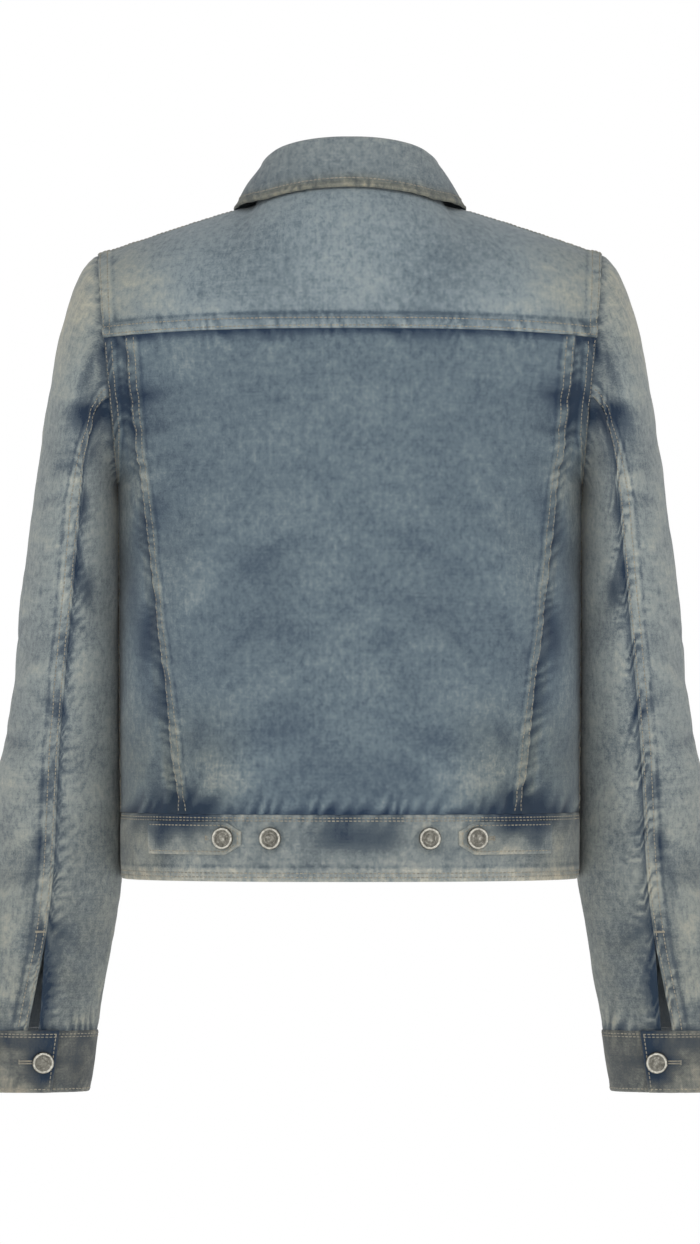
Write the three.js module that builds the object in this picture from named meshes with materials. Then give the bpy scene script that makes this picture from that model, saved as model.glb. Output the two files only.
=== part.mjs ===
// A short denim jacket, filled out as if worn, with its collar turned down and its front buttoned.
// Millimetres, +Z up. The wearer faces +Y, so the back of the jacket faces -Y and +X is the wearer's right.
// The origin is the middle of the shoulder line, between the two points where neck and shoulder meet.
import * as THREE from "three";

// Driving sizes
const HEM_Z = -518;
const WAIST_SEAM_Z = -467;
const UNDERARM_Z = -215;
const YOKE_SEAM_Z = -98;
const CHEST_ROW_Z = -130;
const NECK_HALF_WIDTH = 72;
const NECK_HALF_DEPTH = 62;
const NECK_BACK_RISE = 20;
const NECK_FRONT_DROP = 76;
const SHOULDER_TIP = { x: 194, y: 6, z: -39 };
const SHOULDER_CROWN = 1;
const UNDERARM_X = 178;
const ARMHOLE_DEPTH = { back: 62, front: 56 };
const BODY_HALF_WIDTH = 178;
const BODY_DEPTH = 120;
const CLOTH = 1.6;
const DOUBLE_CLOTH = 3;
const BAND_OUT = 1;
const BAND_RAMP = 14;
const BAND_LAP_MARGIN = 1.1;
const SEAM_GAP = 0.3;
const SQUARENESS = 0.87;
const LOFT_HANDLE = 0.38;
const NECK_LEAN = { back: 0.9, front: 1.4 };
const NECK_SHAPE = { back: 1.2, front: 1.7 };

// Places along the body: rows run from the hem to 0 at the underarm, then one row for each step of the
// armhole
const ARMHOLE_STEPS = 12;
const YOKE_ROW = 7;
const YOKE_ROW_HEIGHT = 20;
const YOKE_HALF_WIDTH = 190;
const NECK_SHARE = 0.4;
const lowerRow = (z) => (z - UNDERARM_Z) / (UNDERARM_Z - WAIST_SEAM_Z);
const HEM_ROW = lowerRow(HEM_Z);
const WAIST_ROW = lowerRow(WAIST_SEAM_Z);

// Level sections of the body: half width at the side seam, and depth at the middle of the back and front
const BODY = [
  { z: -520, half_width: 175, back: 115, front: 112 },
  { z: -472, half_width: 175.5, back: 118, front: 115 },
  { z: -440, half_width: 176, back: 122, front: 118 },
  { z: -380, half_width: 176.5, back: 125, front: 120 },
  { z: -300, half_width: 177, back: 125, front: 120 },
  { z: -215, half_width: 178, back: 121, front: 117 },
  { z: -150, half_width: 180, back: 115, front: 111 },
  { z: -98, half_width: 180, back: 107, front: 96 },
];

// Sections of the sleeve below the armhole, by depth under the origin
const SLEEVE = [
  { drop: 235, centre_x: 213, centre_y: -2, half_width: 31.5, half_depth: 77, twist: 2 },
  { drop: 290, centre_x: 215, centre_y: 4, half_width: 36.8, half_depth: 73, twist: 8 },
  { drop: 346, centre_x: 218.2, centre_y: 9, half_width: 40.8, half_depth: 68, twist: 12 },
  { drop: 410, centre_x: 221.8, centre_y: 13, half_width: 44.2, half_depth: 60.5, twist: 15 },
  { drop: 470, centre_x: 225.2, centre_y: 18, half_width: 48.1, half_depth: 52.5, twist: 15 },
  { drop: 520, centre_x: 228.2, centre_y: 23, half_width: 51.2, half_depth: 45.5, twist: 15 },
  { drop: 558, centre_x: 233, centre_y: 26, half_width: 50.5, half_depth: 41.5, twist: 15 },
  { drop: 600, centre_x: 239, centre_y: 29, half_width: 49.5, half_depth: 36, twist: 15 },
  { drop: 643, centre_x: 245, centre_y: 32, half_width: 48.5, half_depth: 31, twist: 15 },
  { drop: 684, centre_x: 250.5, centre_y: 35, half_width: 48, half_depth: 28, twist: 15 },
];
const SLEEVE_RING_DROP = 235;
// The sleeve head's curve: its reach out of the armhole, its reach up from the first level ring, its lean
const SLEEVE_HEAD = {
  leave: { underarm: 4, shoulder: 24 },
  arrive: { underarm: 8, shoulder: 110 },
  lean: 0.29,
};
const CUFF_TOP_DROP = 636;
const CUFF_END_DROP = 684;
const SLEEVE_BACK_SEAM = 5;
const SLEEVE_FRONT_SEAM = 21;
const RING_STEPS = 24;
const ARMHOLE_REACH_GAP = 0.003;
const VENT_LENGTH = 78;
const VENT_HALF_WIDTH = 4.5;
const CUFF_LAP_STEPS = 1.5;
const CUFF_RAMP_STEPS = { from: 0.2, to: 2.4 };

// The turned-down collar, by place round the neck: 0 is the middle back, 0.5 the shoulder, 1 the front.
// fold_out and fold_up place the fold from the neckline, edge_out and edge_up the free edge of the leaf.
const COLLAR = [
  { place: 0, fold_out: -2, fold_up: 30, edge_out: 14, edge_up: -8 },
  { place: 0.25, fold_out: -3, fold_up: 31, edge_out: 16, edge_up: -9 },
  { place: 0.38, fold_out: -5, fold_up: 30, edge_out: 17, edge_up: -5 },
  { place: 0.5, fold_out: -6, fold_up: 28, edge_out: 17, edge_up: -1 },
  { place: 0.62, fold_out: -5, fold_up: 27, edge_out: 21, edge_up: -3 },
  { place: 0.78, fold_out: -3, fold_up: 24, edge_out: 29, edge_up: -16 },
  { place: 0.9, fold_out: -1, fold_up: 20, edge_out: 33, edge_up: -33 },
  { place: 1, fold_out: 0, fold_up: 17, edge_out: 34, edge_up: -42 },
];
const COLLAR_THICKNESS = 2.4;
const COLLAR_FOLD_RADIUS = 4.2;
const COLLAR_END = 0.91;
const COLLAR_BASE_OUT = -2;
const COLLAR_BASE_UP = 0.7;
const LEAF_CROWN = 2.5;
const LEAF_CLEARANCE = 2.2;
const LEAF_REACH = 7;

// The largest folds of the body, on both sides alike: middle, lean from level (rising to the middle line),
// reach along and across, and depth, which is negative for a hollow
const BACK_FOLDS = [
  { x: 56, z: -397, lean: 28, along: 62, across: 17, depth: 4 },
  { x: 0, z: -438, lean: 0, along: 38, across: 22, depth: -3.5 },
  { x: 92, z: -440, lean: 62, along: 40, across: 15, depth: 3 },
  { x: 70, z: -298, lean: 62, along: 46, across: 24, depth: -3.5 },
  { x: 148, z: -346, lean: 96, along: 40, across: 15, depth: -4.5 },
  { x: 150, z: -262, lean: 40, along: 46, across: 15, depth: -4 },
  { x: 122, z: -288, lean: 66, along: 50, across: 15, depth: 3 },
  { x: 168, z: -165, lean: 16, along: 34, across: 15, depth: -5 },
  { x: 138, z: -448, lean: 86, along: 34, across: 14, depth: -5 },
];
const FRONT_FOLDS = [
  { x: 118, z: -432, lean: 84, along: 42, across: 15, depth: -4.5 },
  { x: 78, z: -396, lean: 58, along: 58, across: 18, depth: 3.5 },
  { x: 142, z: -244, lean: 38, along: 46, across: 16, depth: -4.5 },
  { x: 104, z: -322, lean: -36, along: 58, across: 20, depth: -3 },
];
// The largest folds of a sleeve, on both alike: step round the ring, depth under the origin, then as above
const SLEEVE_FOLDS = [
  { step: 7, drop: 186, lean: 6, along: 40, across: 15, depth: -6 },
  { step: 17, drop: 200, lean: -25, along: 44, across: 16, depth: -5 },
  { step: 3.5, drop: 300, lean: 34, along: 42, across: 16, depth: -4 },
  { step: 9, drop: 345, lean: -30, along: 46, across: 17, depth: -5 },
  { step: 7, drop: 400, lean: 22, along: 46, across: 17, depth: -5 },
  { step: 10, drop: 440, lean: -18, along: 44, across: 16, depth: 3.5 },
  { step: 17.5, drop: 372, lean: 10, along: 48, across: 17, depth: -7 },
  { step: 18, drop: 424, lean: -14, along: 48, across: 16, depth: -5 },
  { step: 8, drop: 508, lean: -26, along: 44, across: 17, depth: -5 },
  { step: 14, drop: 556, lean: 20, along: 44, across: 17, depth: -4.5 },
  { step: 9, drop: 602, lean: 8, along: 42, across: 15, depth: -3.5 },
  { step: 21.4, drop: 385, lean: 90, along: 170, across: 15, depth: 6.5 },
];
const SLEEVE_STEP_LENGTH = 14;
// How quickly folds grow from nothing at the seams that must stay smooth
const FOLD_FADE = { side: 6, waist: 9, armhole: 4, cuff: 12 };

// Front fastening
const PLACKET_HALF_WIDTH = 16;
const PLACKET_LAP = 6;
const PLACKET_THICKNESS = 2.2;
const PLACKET_OUT = PLACKET_THICKNESS + 0.7;
const PLACKET_TOP_GAP_ROWS = 0.45;
const FRONT_BUTTON_Z = [-102, -176, -248, -324, -400, -493];

// Waist adjusters at the back: a tab on each side, with the button that holds it and a free one
const TAB = { outer_x: 152, tip_x: 82, middle_z: -485, half_height: 12.5, tip_half_height: 5, point: 12 };
const TAB_THICKNESS = 1.8;
const TAB_BUTTON_X = 95;
const FREE_BUTTON_X = 60;

// Tack buttons
const BUTTON = { radius: 8.5, height: 5, shank_radius: 4, rim: 1.2, segments: 10 };

// Places of the slanting seams on the back, from the middle line
const SIDE_SEAM_TOP_X = 172;
const SIDE_SEAM_WAIST_X = 131;

const COLOURS = { denim: "#66747c", metal: "#8d8a80" };

const mix = THREE.MathUtils.lerp;
const radians = THREE.MathUtils.degToRad;
const point = (x, y, z) => new THREE.Vector3(x, y, z);

// The value of a column anywhere between a table's rows, on a smooth curve through them
function smoothColumn(rows, key, place, column) {
  let i = 0;
  while (i < rows.length - 2 && place > rows[i + 1][key]) i++;
  const slope = (k) => {
    const before = rows[Math.max(k - 1, 0)];
    const after = rows[Math.min(k + 1, rows.length - 1)];
    return (after[column] - before[column]) / (after[key] - before[key]);
  };
  const span = rows[i + 1][key] - rows[i][key];
  const t = THREE.MathUtils.clamp((place - rows[i][key]) / span, 0, 1);
  const [a, b] = [rows[i][column], rows[i + 1][column]];
  const [rise, fall] = [slope(i) * span, slope(i + 1) * span];
  return a + t * (rise + t * (3 * (b - a) - 2 * rise - fall + t * (2 * (a - b) + rise + fall)));
}

// One soft fold: how far it moves the cloth out at a distance (right, up) from its middle
function foldDepth(fold, right, up) {
  const lean = radians(fold.lean);
  const along = right * Math.cos(lean) + up * Math.sin(lean);
  const across = up * Math.cos(lean) - right * Math.sin(lean);
  return fold.depth * Math.exp(-((along / fold.along) ** 2) - (across / fold.across) ** 2);
}

// A point of the armhole, from the underarm to the yoke seam, on the wearer's right
function armholePoint(side, row) {
  const turn = (Math.PI * row) / ARMHOLE_STEPS;
  const rise = (1 - Math.cos(turn)) / 2;
  const depth = side < 0 ? ARMHOLE_DEPTH.back : ARMHOLE_DEPTH.front;
  return point(
    mix(UNDERARM_X, SHOULDER_TIP.x, rise),
    side * depth * Math.sin(turn),
    mix(UNDERARM_Z, SHOULDER_TIP.z, rise),
  );
}

// A point of one body row below the yoke: part of a superellipse from the middle line to the edge
function rowPoint(side, share, row) {
  const upper = row > 0;
  const topZ = side < 0 ? YOKE_SEAM_Z : CHEST_ROW_Z;
  const lowerHeight = UNDERARM_Z - WAIST_SEAM_Z;
  const middleZ = upper ? mix(UNDERARM_Z, topZ, row / YOKE_ROW) : UNDERARM_Z + row * lowerHeight;
  const depth = smoothColumn(BODY, "z", middleZ, side < 0 ? "back" : "front");
  const sideSeam = point(smoothColumn(BODY, "z", middleZ, "half_width"), 0, middleZ);
  const edge = upper ? armholePoint(side, row) : sideSeam;
  const last = Math.acos((Math.abs(edge.y) / depth) ** (1 / SQUARENESS));
  const turn = Math.min(share * last, Math.PI / 2);
  return point(
    edge.x * (Math.sin(turn) / Math.sin(last)) ** SQUARENESS,
    side * depth * Math.max(Math.cos(turn), 0) ** SQUARENESS,
    mix(middleZ, edge.z, share * share),
  );
}

// A point of the neckline, from the middle line (0) to the shoulder (1)
function necklinePoint(side, share) {
  const turn = (share * Math.PI) / 2;
  const rise = NECK_BACK_RISE * Math.cos(turn) ** NECK_SHAPE.back;
  const lift = side < 0 ? rise : -NECK_FRONT_DROP * Math.cos(turn) ** NECK_SHAPE.front;
  return point(NECK_HALF_WIDTH * Math.sin(turn), 2 + side * NECK_HALF_DEPTH * Math.cos(turn), lift);
}

// A point of the top row: the neckline, then the ridge of the shoulder
function topPoint(side, share) {
  if (share <= NECK_SHARE) return necklinePoint(side, share / NECK_SHARE);
  const f = (share - NECK_SHARE) / (1 - NECK_SHARE);
  return point(
    mix(NECK_HALF_WIDTH, SHOULDER_TIP.x, f),
    mix(2, SHOULDER_TIP.y, f),
    mix(0, SHOULDER_TIP.z, f) + SHOULDER_CROWN * Math.sin(Math.PI * f),
  );
}

// A point above the yoke row: a curve that leaves the row below smoothly and lies level on the shoulder
function loftPoint(side, share, row) {
  const t = (row - YOKE_ROW) / (ARMHOLE_STEPS - YOKE_ROW);
  const start = rowPoint(side, share, YOKE_ROW);
  const end = topPoint(side, share);
  const handle = LOFT_HANDLE * start.distanceTo(end);
  const up = start.clone().sub(rowPoint(side, share, YOKE_ROW - 0.05)).setLength(handle);
  const lean = Math.max(0, 1 - share / NECK_SHARE) * (side < 0 ? NECK_LEAN.back : NECK_LEAN.front);
  const over = point(0, -side, lean).setLength(handle);
  return new THREE.CubicBezierCurve3(start, start.clone().add(up), end.clone().sub(over), end).getPoint(t);
}

// A point of the body. side is -1 for the back and 1 for the front; share runs from -1 to 1 across it.
function bodyPoint(side, share, row) {
  const whole = Math.abs(share);
  const made = row > YOKE_ROW ? loftPoint(side, whole, row) : rowPoint(side, whole, row);
  const folds = side < 0 ? BACK_FOLDS : FRONT_FOLDS;
  const depth = folds.reduce((sum, fold) => sum + foldDepth(fold, fold.x - made.x, made.z - fold.z), 0);
  const sideFade = Math.min(1, (1 - whole) * FOLD_FADE.side);
  const edgeFade = sideFade * THREE.MathUtils.clamp((row - WAIST_ROW) * FOLD_FADE.waist, 0, 1);
  const away = point(made.x / BODY_HALF_WIDTH ** 2, made.y / BODY_DEPTH ** 2, 0);
  made.addScaledVector(away.normalize(), depth * edgeFade);
  if (share < 0) made.x *= -1;
  return made;
}

// A point of the armhole all round: step 0 and 24 are the underarm, 12 the shoulder
function armholeRing(step) {
  const s = ((step % RING_STEPS) + RING_STEPS) % RING_STEPS;
  return s <= ARMHOLE_STEPS ? bodyPoint(-1, 1, s) : bodyPoint(1, 1, RING_STEPS - s);
}

// A point of the sleeve's level ring at a depth below the origin
function sleeveRing(step, drop) {
  const at = (column) => smoothColumn(SLEEVE, "drop", drop, column);
  const turn = radians((step * 360) / RING_STEPS + at("twist"));
  const x = at("centre_x") - at("half_width") * Math.cos(turn);
  const y = at("centre_y") - at("half_depth") * Math.sin(turn);
  return point(x, y, -drop);
}

// A point of the right sleeve before its folds: reach 0 to 1 turns from the armhole to the first level ring,
// and 1 to 2 goes down to the cuff seam
function plainSleevePoint(step, reach) {
  if (reach > 1) return sleeveRing(step, mix(SLEEVE_RING_DROP, CUFF_TOP_DROP, reach - 1));
  const height = (1 - Math.cos((2 * Math.PI * step) / RING_STEPS)) / 2;
  const start = armholeRing(step);
  const end = sleeveRing(step, SLEEVE_RING_DROP);
  const { leave, arrive, lean } = SLEEVE_HEAD;
  const outward = point(1, 0, -lean * height).setLength(mix(leave.underarm, leave.shoulder, height));
  const upward = end.clone().sub(sleeveRing(step, SLEEVE_RING_DROP + 1));
  const down = upward.setLength(mix(arrive.underarm, arrive.shoulder, height));
  const curve = new THREE.CubicBezierCurve3(start, start.clone().add(outward), end.clone().add(down), end);
  return curve.getPoint(reach);
}

// A point of the right sleeve with its folds, which fade out at both seams
function sleevePoint(step, reach) {
  const made = plainSleevePoint(step, reach);
  const drop = -made.z;
  const depth = SLEEVE_FOLDS.reduce((sum, fold) => {
    const apart = ((step - fold.step + RING_STEPS * 1.5) % RING_STEPS) - RING_STEPS / 2;
    return sum + foldDepth(fold, apart * SLEEVE_STEP_LENGTH, fold.drop - drop);
  }, 0);
  const endFade = Math.min(1, reach * FOLD_FADE.armhole) * Math.min(1, (2 - reach) * FOLD_FADE.cuff);
  const centreX = smoothColumn(SLEEVE, "drop", Math.max(drop, SLEEVE_RING_DROP), "centre_x");
  const away = point(made.x - centreX, made.y, 0);
  return made.addScaledVector(away.normalize(), depth * endFade);
}

// A closed wall of cloth: outer points on a grid of columns and rows, inner points one thickness behind them
function wall(surface, columns, rows, { thickness, out = 0, flip = false, mirror = false }) {
  const step = 1e-3;
  const ends = (list) => [Math.min(list[0], list.at(-1)), Math.max(list[0], list.at(-1))];
  const [firstColumn, lastColumn] = ends(columns);
  const [firstRow, lastRow] = ends(rows);
  const normal = (c, r) => {
    const [before, after] = [Math.max(c - step, firstColumn), Math.min(c + step, lastColumn)];
    const [below, above] = [Math.max(r - step, firstRow), Math.min(r + step, lastRow)];
    const across = surface(after, r).sub(surface(before, r));
    const along = surface(c, above).sub(surface(c, below));
    return across.cross(along).normalize().multiplyScalar(flip ? -1 : 1);
  };
  const outer = rows.map((r) => columns.map((c) => surface(c, r).addScaledVector(normal(c, r), out)));
  const behind = (c, r, face) => face.clone().addScaledVector(normal(c, r), -thickness);
  const inner = rows.map((r, j) => columns.map((c, i) => behind(c, r, outer[j][i])));
  const [wide, high] = [columns.length, rows.length];
  const place = (layer, i, j) => layer * wide * high + j * wide + i;
  const faces = [];
  const quad = (a, b, c, d) => faces.push(a, b, c, a, c, d);
  for (let j = 0; j + 1 < high; j++)
    for (let i = 0; i + 1 < wide; i++) {
      quad(place(0, i, j), place(0, i + 1, j), place(0, i + 1, j + 1), place(0, i, j + 1));
      quad(place(1, i, j), place(1, i, j + 1), place(1, i + 1, j + 1), place(1, i + 1, j));
    }
  for (let i = 0; i + 1 < wide; i++) {
    quad(place(0, i, 0), place(1, i, 0), place(1, i + 1, 0), place(0, i + 1, 0));
    quad(place(0, i, high - 1), place(0, i + 1, high - 1), place(1, i + 1, high - 1), place(1, i, high - 1));
  }
  for (let j = 0; j + 1 < high; j++) {
    quad(place(0, 0, j), place(0, 0, j + 1), place(1, 0, j + 1), place(1, 0, j));
    quad(place(0, wide - 1, j), place(1, wide - 1, j), place(1, wide - 1, j + 1), place(0, wide - 1, j + 1));
  }
  const turned = flip !== mirror;
  const index = [];
  for (let k = 0; k < faces.length; k += 3)
    index.push(faces[k], faces[k + (turned ? 2 : 1)], faces[k + (turned ? 1 : 2)]);
  const positions = [...outer, ...inner].flat().flatMap((p) => [mirror ? -p.x : p.x, p.y, p.z]);
  const geometry = new THREE.BufferGeometry();
  geometry.setAttribute("position", new THREE.Float32BufferAttribute(positions, 3));
  geometry.setIndex(index);
  geometry.computeVertexNormals();
  return geometry;
}

const steps = (from, to, count) => Array.from({ length: count + 1 }, (_, k) => mix(from, to, k / count));

// The share at which a body row reaches a distance x from the middle line
function shareAt(side, row, x) {
  let [low, high] = [0, 1];
  for (let k = 0; k < 26; k++) {
    const middle = (low + high) / 2;
    if (bodyPoint(side, middle, row).x < x) low = middle;
    else high = middle;
  }
  return (low + high) / 2;
}

// A share moved by millimetres along its row, to leave half a seam's gap
function nudged(side, share, row, millimetres) {
  const step = 0.004;
  const from = share > 0.5 ? share - step : share;
  const perShare = bodyPoint(side, from + step, row).distanceTo(bodyPoint(side, from, row)) / step;
  return share + millimetres / perShare;
}

// A panel of the body between two limits, each a function from row to share
function panel(side, left, right, columnCount, rows, options) {
  const surface = (c, r) => bodyPoint(side, mix(left(r), right(r), c), r);
  return wall(surface, steps(0, 1, columnCount), rows, { thickness: CLOTH, flip: side > 0, ...options });
}

const group = new THREE.Group();
const materials = Object.fromEntries(
  Object.entries(COLOURS).map(([name, color]) => [
    name,
    new THREE.MeshStandardMaterial({
      color,
      roughness: name === "metal" ? 0.35 : 0.92,
      metalness: name === "metal" ? 0.9 : 0,
    }),
  ]),
);

function add(name, geometry, material = "denim") {
  const mesh = new THREE.Mesh(geometry, materials[material]);
  mesh.name = name;
  group.add(mesh);
  return mesh;
}

const halfGap = SEAM_GAP / 2;
const bodyRowGap = SEAM_GAP / (UNDERARM_Z - WAIST_SEAM_Z);
const yokeRowGap = halfGap / YOKE_ROW_HEIGHT;
const lowerRows = steps(WAIST_ROW + bodyRowGap, 0, 9);
const armholeRows = steps(1, YOKE_ROW, YOKE_ROW - 1);
const SIDES = [
  { name: "right", mirror: false },
  { name: "left", mirror: true },
];

function addBack() {
  const rows = [...lowerRows, ...armholeRows.slice(0, -1), YOKE_ROW - yokeRowGap];
  const seamX = (row) => {
    const z = rowPoint(-1, 0, row).z;
    return mix(SIDE_SEAM_WAIST_X, SIDE_SEAM_TOP_X, (z - WAIST_SEAM_Z) / (YOKE_SEAM_Z - WAIST_SEAM_Z));
  };
  const seam = (row) => shareAt(-1, row, seamX(row));
  const centre = (row) => nudged(-1, seam(row), row, -halfGap);
  add("back_centre", panel(-1, (row) => -centre(row), centre, 22, rows));
  for (const { name, mirror } of SIDES) {
    const inner = (row) => nudged(-1, seam(row), row, halfGap);
    const outer = (row) => nudged(-1, 1, row, -halfGap);
    add(`back_side_${name}`, panel(-1, inner, outer, 5, rows, { mirror }));
  }
  const yokeRows = steps(YOKE_ROW + yokeRowGap, ARMHOLE_STEPS - yokeRowGap, 6);
  const shares = [...steps(0, NECK_SHARE, 6), ...steps(NECK_SHARE, 1, 7).slice(1)];
  const columns = [...shares.slice(1).map((share) => -share).reverse(), ...shares];
  const surface = (share, row) => bodyPoint(-1, share * (1 - halfGap / YOKE_HALF_WIDTH), row);
  add("back_yoke", wall(surface, columns, yokeRows, { thickness: CLOTH }));
}

function addFronts() {
  const rows = [...lowerRows, ...armholeRows, ...steps(YOKE_ROW, ARMHOLE_STEPS - yokeRowGap, 6).slice(1)];
  const sideEdge = (row) => nudged(1, 1, row, -halfGap);
  const bandEdge = (row) => shareAt(1, row, PLACKET_HALF_WIDTH + halfGap);
  const neckColumn = 0.34;
  for (const { name, mirror } of SIDES) {
    const surface = (c, row) =>
      bodyPoint(
        1,
        c < neckColumn
          ? mix(bandEdge(row), NECK_SHARE, c / neckColumn)
          : mix(NECK_SHARE, sideEdge(row), (c - neckColumn) / (1 - neckColumn)),
        row,
      );
    const columns = [...steps(0, neckColumn, 4), ...steps(neckColumn, 1, 6).slice(1)];
    add(`front_${name}`, wall(surface, columns, rows, { thickness: CLOTH, flip: true, mirror }));
  }
  const strip = (from, to) => (c, row) => {
    const x = mix(from, to, c);
    return bodyPoint(1, Math.sign(x) * shareAt(1, row, Math.abs(x)), row);
  };
  const columns = steps(0, 1, 4);
  const under = strip(-PLACKET_HALF_WIDTH + halfGap, PLACKET_HALF_WIDTH - halfGap);
  add("placket_under", wall(under, columns, rows, { thickness: CLOTH, flip: true }));
  const over = strip(-PLACKET_HALF_WIDTH, PLACKET_HALF_WIDTH + PLACKET_LAP);
  const lapped = [...rows.slice(0, -1), ARMHOLE_STEPS - PLACKET_TOP_GAP_ROWS];
  const options = { thickness: PLACKET_THICKNESS, out: PLACKET_OUT, flip: true };
  add("placket_over", wall(over, columns, lapped, options));
}

// The waistband, in one piece behind and two in front, of which the wearer's right end lies over the left
function addWaistband() {
  const rows = steps(HEM_ROW, WAIST_ROW - bodyRowGap, 2);
  const sideGap = halfGap / BODY_HALF_WIDTH;
  const options = { thickness: DOUBLE_CLOTH, out: BAND_OUT };
  const back = (share, row) => bodyPoint(-1, share, row);
  add("waistband_back", wall(back, steps(-1 + sideGap, 1 - sideGap, 30), rows, options));
  const end = shareAt(1, HEM_ROW, PLACKET_HALF_WIDTH);
  const ramp = shareAt(1, HEM_ROW, PLACKET_HALF_WIDTH + BAND_RAMP);
  const frontShares = [...steps(-end, ramp, 8), ...steps(ramp, 1 - sideGap, 12).slice(1)];
  const under = (share, row) => bodyPoint(1, share, row);
  add("waistband_front_left", wall(under, frontShares, rows, { ...options, flip: true, mirror: true }));
  const over = (share, row) => {
    const lapped = THREE.MathUtils.smoothstep(-share, -ramp, -end * BAND_LAP_MARGIN);
    const made = bodyPoint(1, share, row);
    made.y += lapped * (DOUBLE_CLOTH + SEAM_GAP);
    return made;
  };
  add("waistband_front_right", wall(over, frontShares, rows, { ...options, flip: true }));
}

function addTabs() {
  const length = TAB.outer_x - TAB.tip_x;
  const surface = (c, r) => {
    const x = mix(TAB.outer_x, TAB.tip_x, c);
    const left = c * length - (length - TAB.point);
    const half = left > 0 ? mix(TAB.half_height, TAB.tip_half_height, left / TAB.point) : TAB.half_height;
    const row = lowerRow(TAB.middle_z + r * half);
    return bodyPoint(-1, shareAt(-1, row, x), row);
  };
  const columns = [...steps(0, 1 - TAB.point / length, 7), ...steps(1 - TAB.point / length, 1, 2).slice(1)];
  const options = { thickness: TAB_THICKNESS, out: BAND_OUT + SEAM_GAP + TAB_THICKNESS, flip: true };
  for (const { name, mirror } of SIDES)
    add(`waist_tab_${name}`, wall(surface, columns, [-1, 0, 1], { ...options, mirror }));
}

// A point of the collar: round is the place along the neck, from -1 to 1, and travel goes up the stand
// (0 to 1), over the fold (1 to 2) and down the leaf (2 to 3)
function collarPoint(round, travel) {
  const place = Math.abs(round);
  const neck = (p) => (p <= 0.5 ? necklinePoint(-1, p * 2) : necklinePoint(1, (1 - p) * 2));
  const base = neck(place);
  const [before, after] = [neck(Math.max(place - 0.004, 0)), neck(Math.min(place + 0.004, 1))];
  const outward = point(after.y - before.y, before.x - after.x, 0).normalize();
  const at = (column) => smoothColumn(COLLAR, "place", place, column);
  const r = COLLAR_FOLD_RADIUS;
  const standTop = [at("fold_out") - r, at("fold_up") - r];
  const leafTop = [at("fold_out") + r, at("fold_up") - r];
  const edge = [at("edge_out"), at("edge_up")];
  let out, up;
  if (travel < 1) {
    out = mix(COLLAR_BASE_OUT, standTop[0], travel);
    up = mix(COLLAR_BASE_UP, standTop[1], travel);
  } else if (travel < 2) {
    const turn = Math.PI * (2 - travel);
    out = at("fold_out") + r * Math.cos(turn);
    up = at("fold_up") - r + r * Math.sin(turn);
  } else {
    const t = travel - 2;
    out = mix(leafTop[0], edge[0], t) + LEAF_CROWN * Math.sin(Math.PI * t) * (1 - t);
    up = mix(leafTop[1], edge[1], t);
  }
  const made = base.addScaledVector(outward, out);
  made.z += up;
  if (travel > 2) liftClear(made, (COLLAR_THICKNESS + LEAF_CLEARANCE) * Math.min(1, (travel - 2) * 3));
  if (round < 0) made.x *= -1;
  return made;
}

// Points of the cloth round the neck, each with its outward direction, for the collar's leaf to lie on
const underCollar = [];
for (const side of [-1, 1])
  for (let share = 0; share <= 0.72; share += 0.03)
    for (let row = YOKE_ROW; row <= ARMHOLE_STEPS; row += 0.25) {
      const face = bodyPoint(side, share, row);
      const across = bodyPoint(side, share + 0.01, row).sub(face);
      const along = face.clone().sub(bodyPoint(side, share, row - 0.01));
      underCollar.push({ face, outward: across.cross(along).normalize().multiplyScalar(-side) });
    }

// Moves a point of the leaf out, along the cloth's mean direction there, until it is clear of that cloth
function liftClear(made, clearance) {
  const outward = point(0, 0, 0);
  let [weights, heights] = [0, 0];
  for (const sample of underCollar) {
    const weight = Math.exp(-made.distanceToSquared(sample.face) / LEAF_REACH ** 2);
    weights += weight;
    heights += weight * (made.dot(sample.outward) - sample.face.dot(sample.outward));
    outward.addScaledVector(sample.outward, weight);
  }
  const missing = clearance - heights / weights;
  if (missing > 0) made.addScaledVector(outward.normalize(), missing);
}

function addCollar() {
  const travel = [0, 0.5, 1, 1.25, 1.5, 1.75, 2, 2.33, 2.67, 3];
  const places = steps(-COLLAR_END, COLLAR_END, 32);
  add("collar", wall(collarPoint, places, travel, { thickness: COLLAR_THICKNESS, flip: true }));
}

function addSleeves() {
  const reaches = [0, 0.08, 0.19, 0.33, 0.5, 0.67, 0.84, ...steps(1, 2, 18)];
  const lowerLength = CUFF_TOP_DROP - SLEEVE_RING_DROP;
  reaches[0] = ARMHOLE_REACH_GAP;
  reaches[reaches.length - 1] = 2 - SEAM_GAP / lowerLength;
  const ventStart = 2 - VENT_LENGTH / lowerLength;
  const seamHalf = halfGap / SLEEVE_STEP_LENGTH;
  const ventHalf = (reach) =>
    seamHalf + (VENT_HALF_WIDTH / SLEEVE_STEP_LENGTH) * THREE.MathUtils.smoothstep(reach, ventStart, 2);
  const sheet = (from, to) => (c, reach) => sleevePoint(mix(from(reach), to(reach), c), reach);
  const outer = sheet(
    (reach) => SLEEVE_BACK_SEAM + ventHalf(reach),
    () => SLEEVE_FRONT_SEAM - seamHalf,
  );
  const inner = sheet(
    () => SLEEVE_FRONT_SEAM + seamHalf,
    (reach) => RING_STEPS + SLEEVE_BACK_SEAM - ventHalf(reach),
  );
  for (const { name, mirror } of SIDES) {
    const options = { thickness: CLOTH, mirror, flip: true };
    add(`sleeve_top_${name}`, wall(outer, steps(0, 1, 14), reaches, options));
    add(`sleeve_under_${name}`, wall(inner, steps(0, 1, 7), reaches, options));
  }
}

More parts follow.
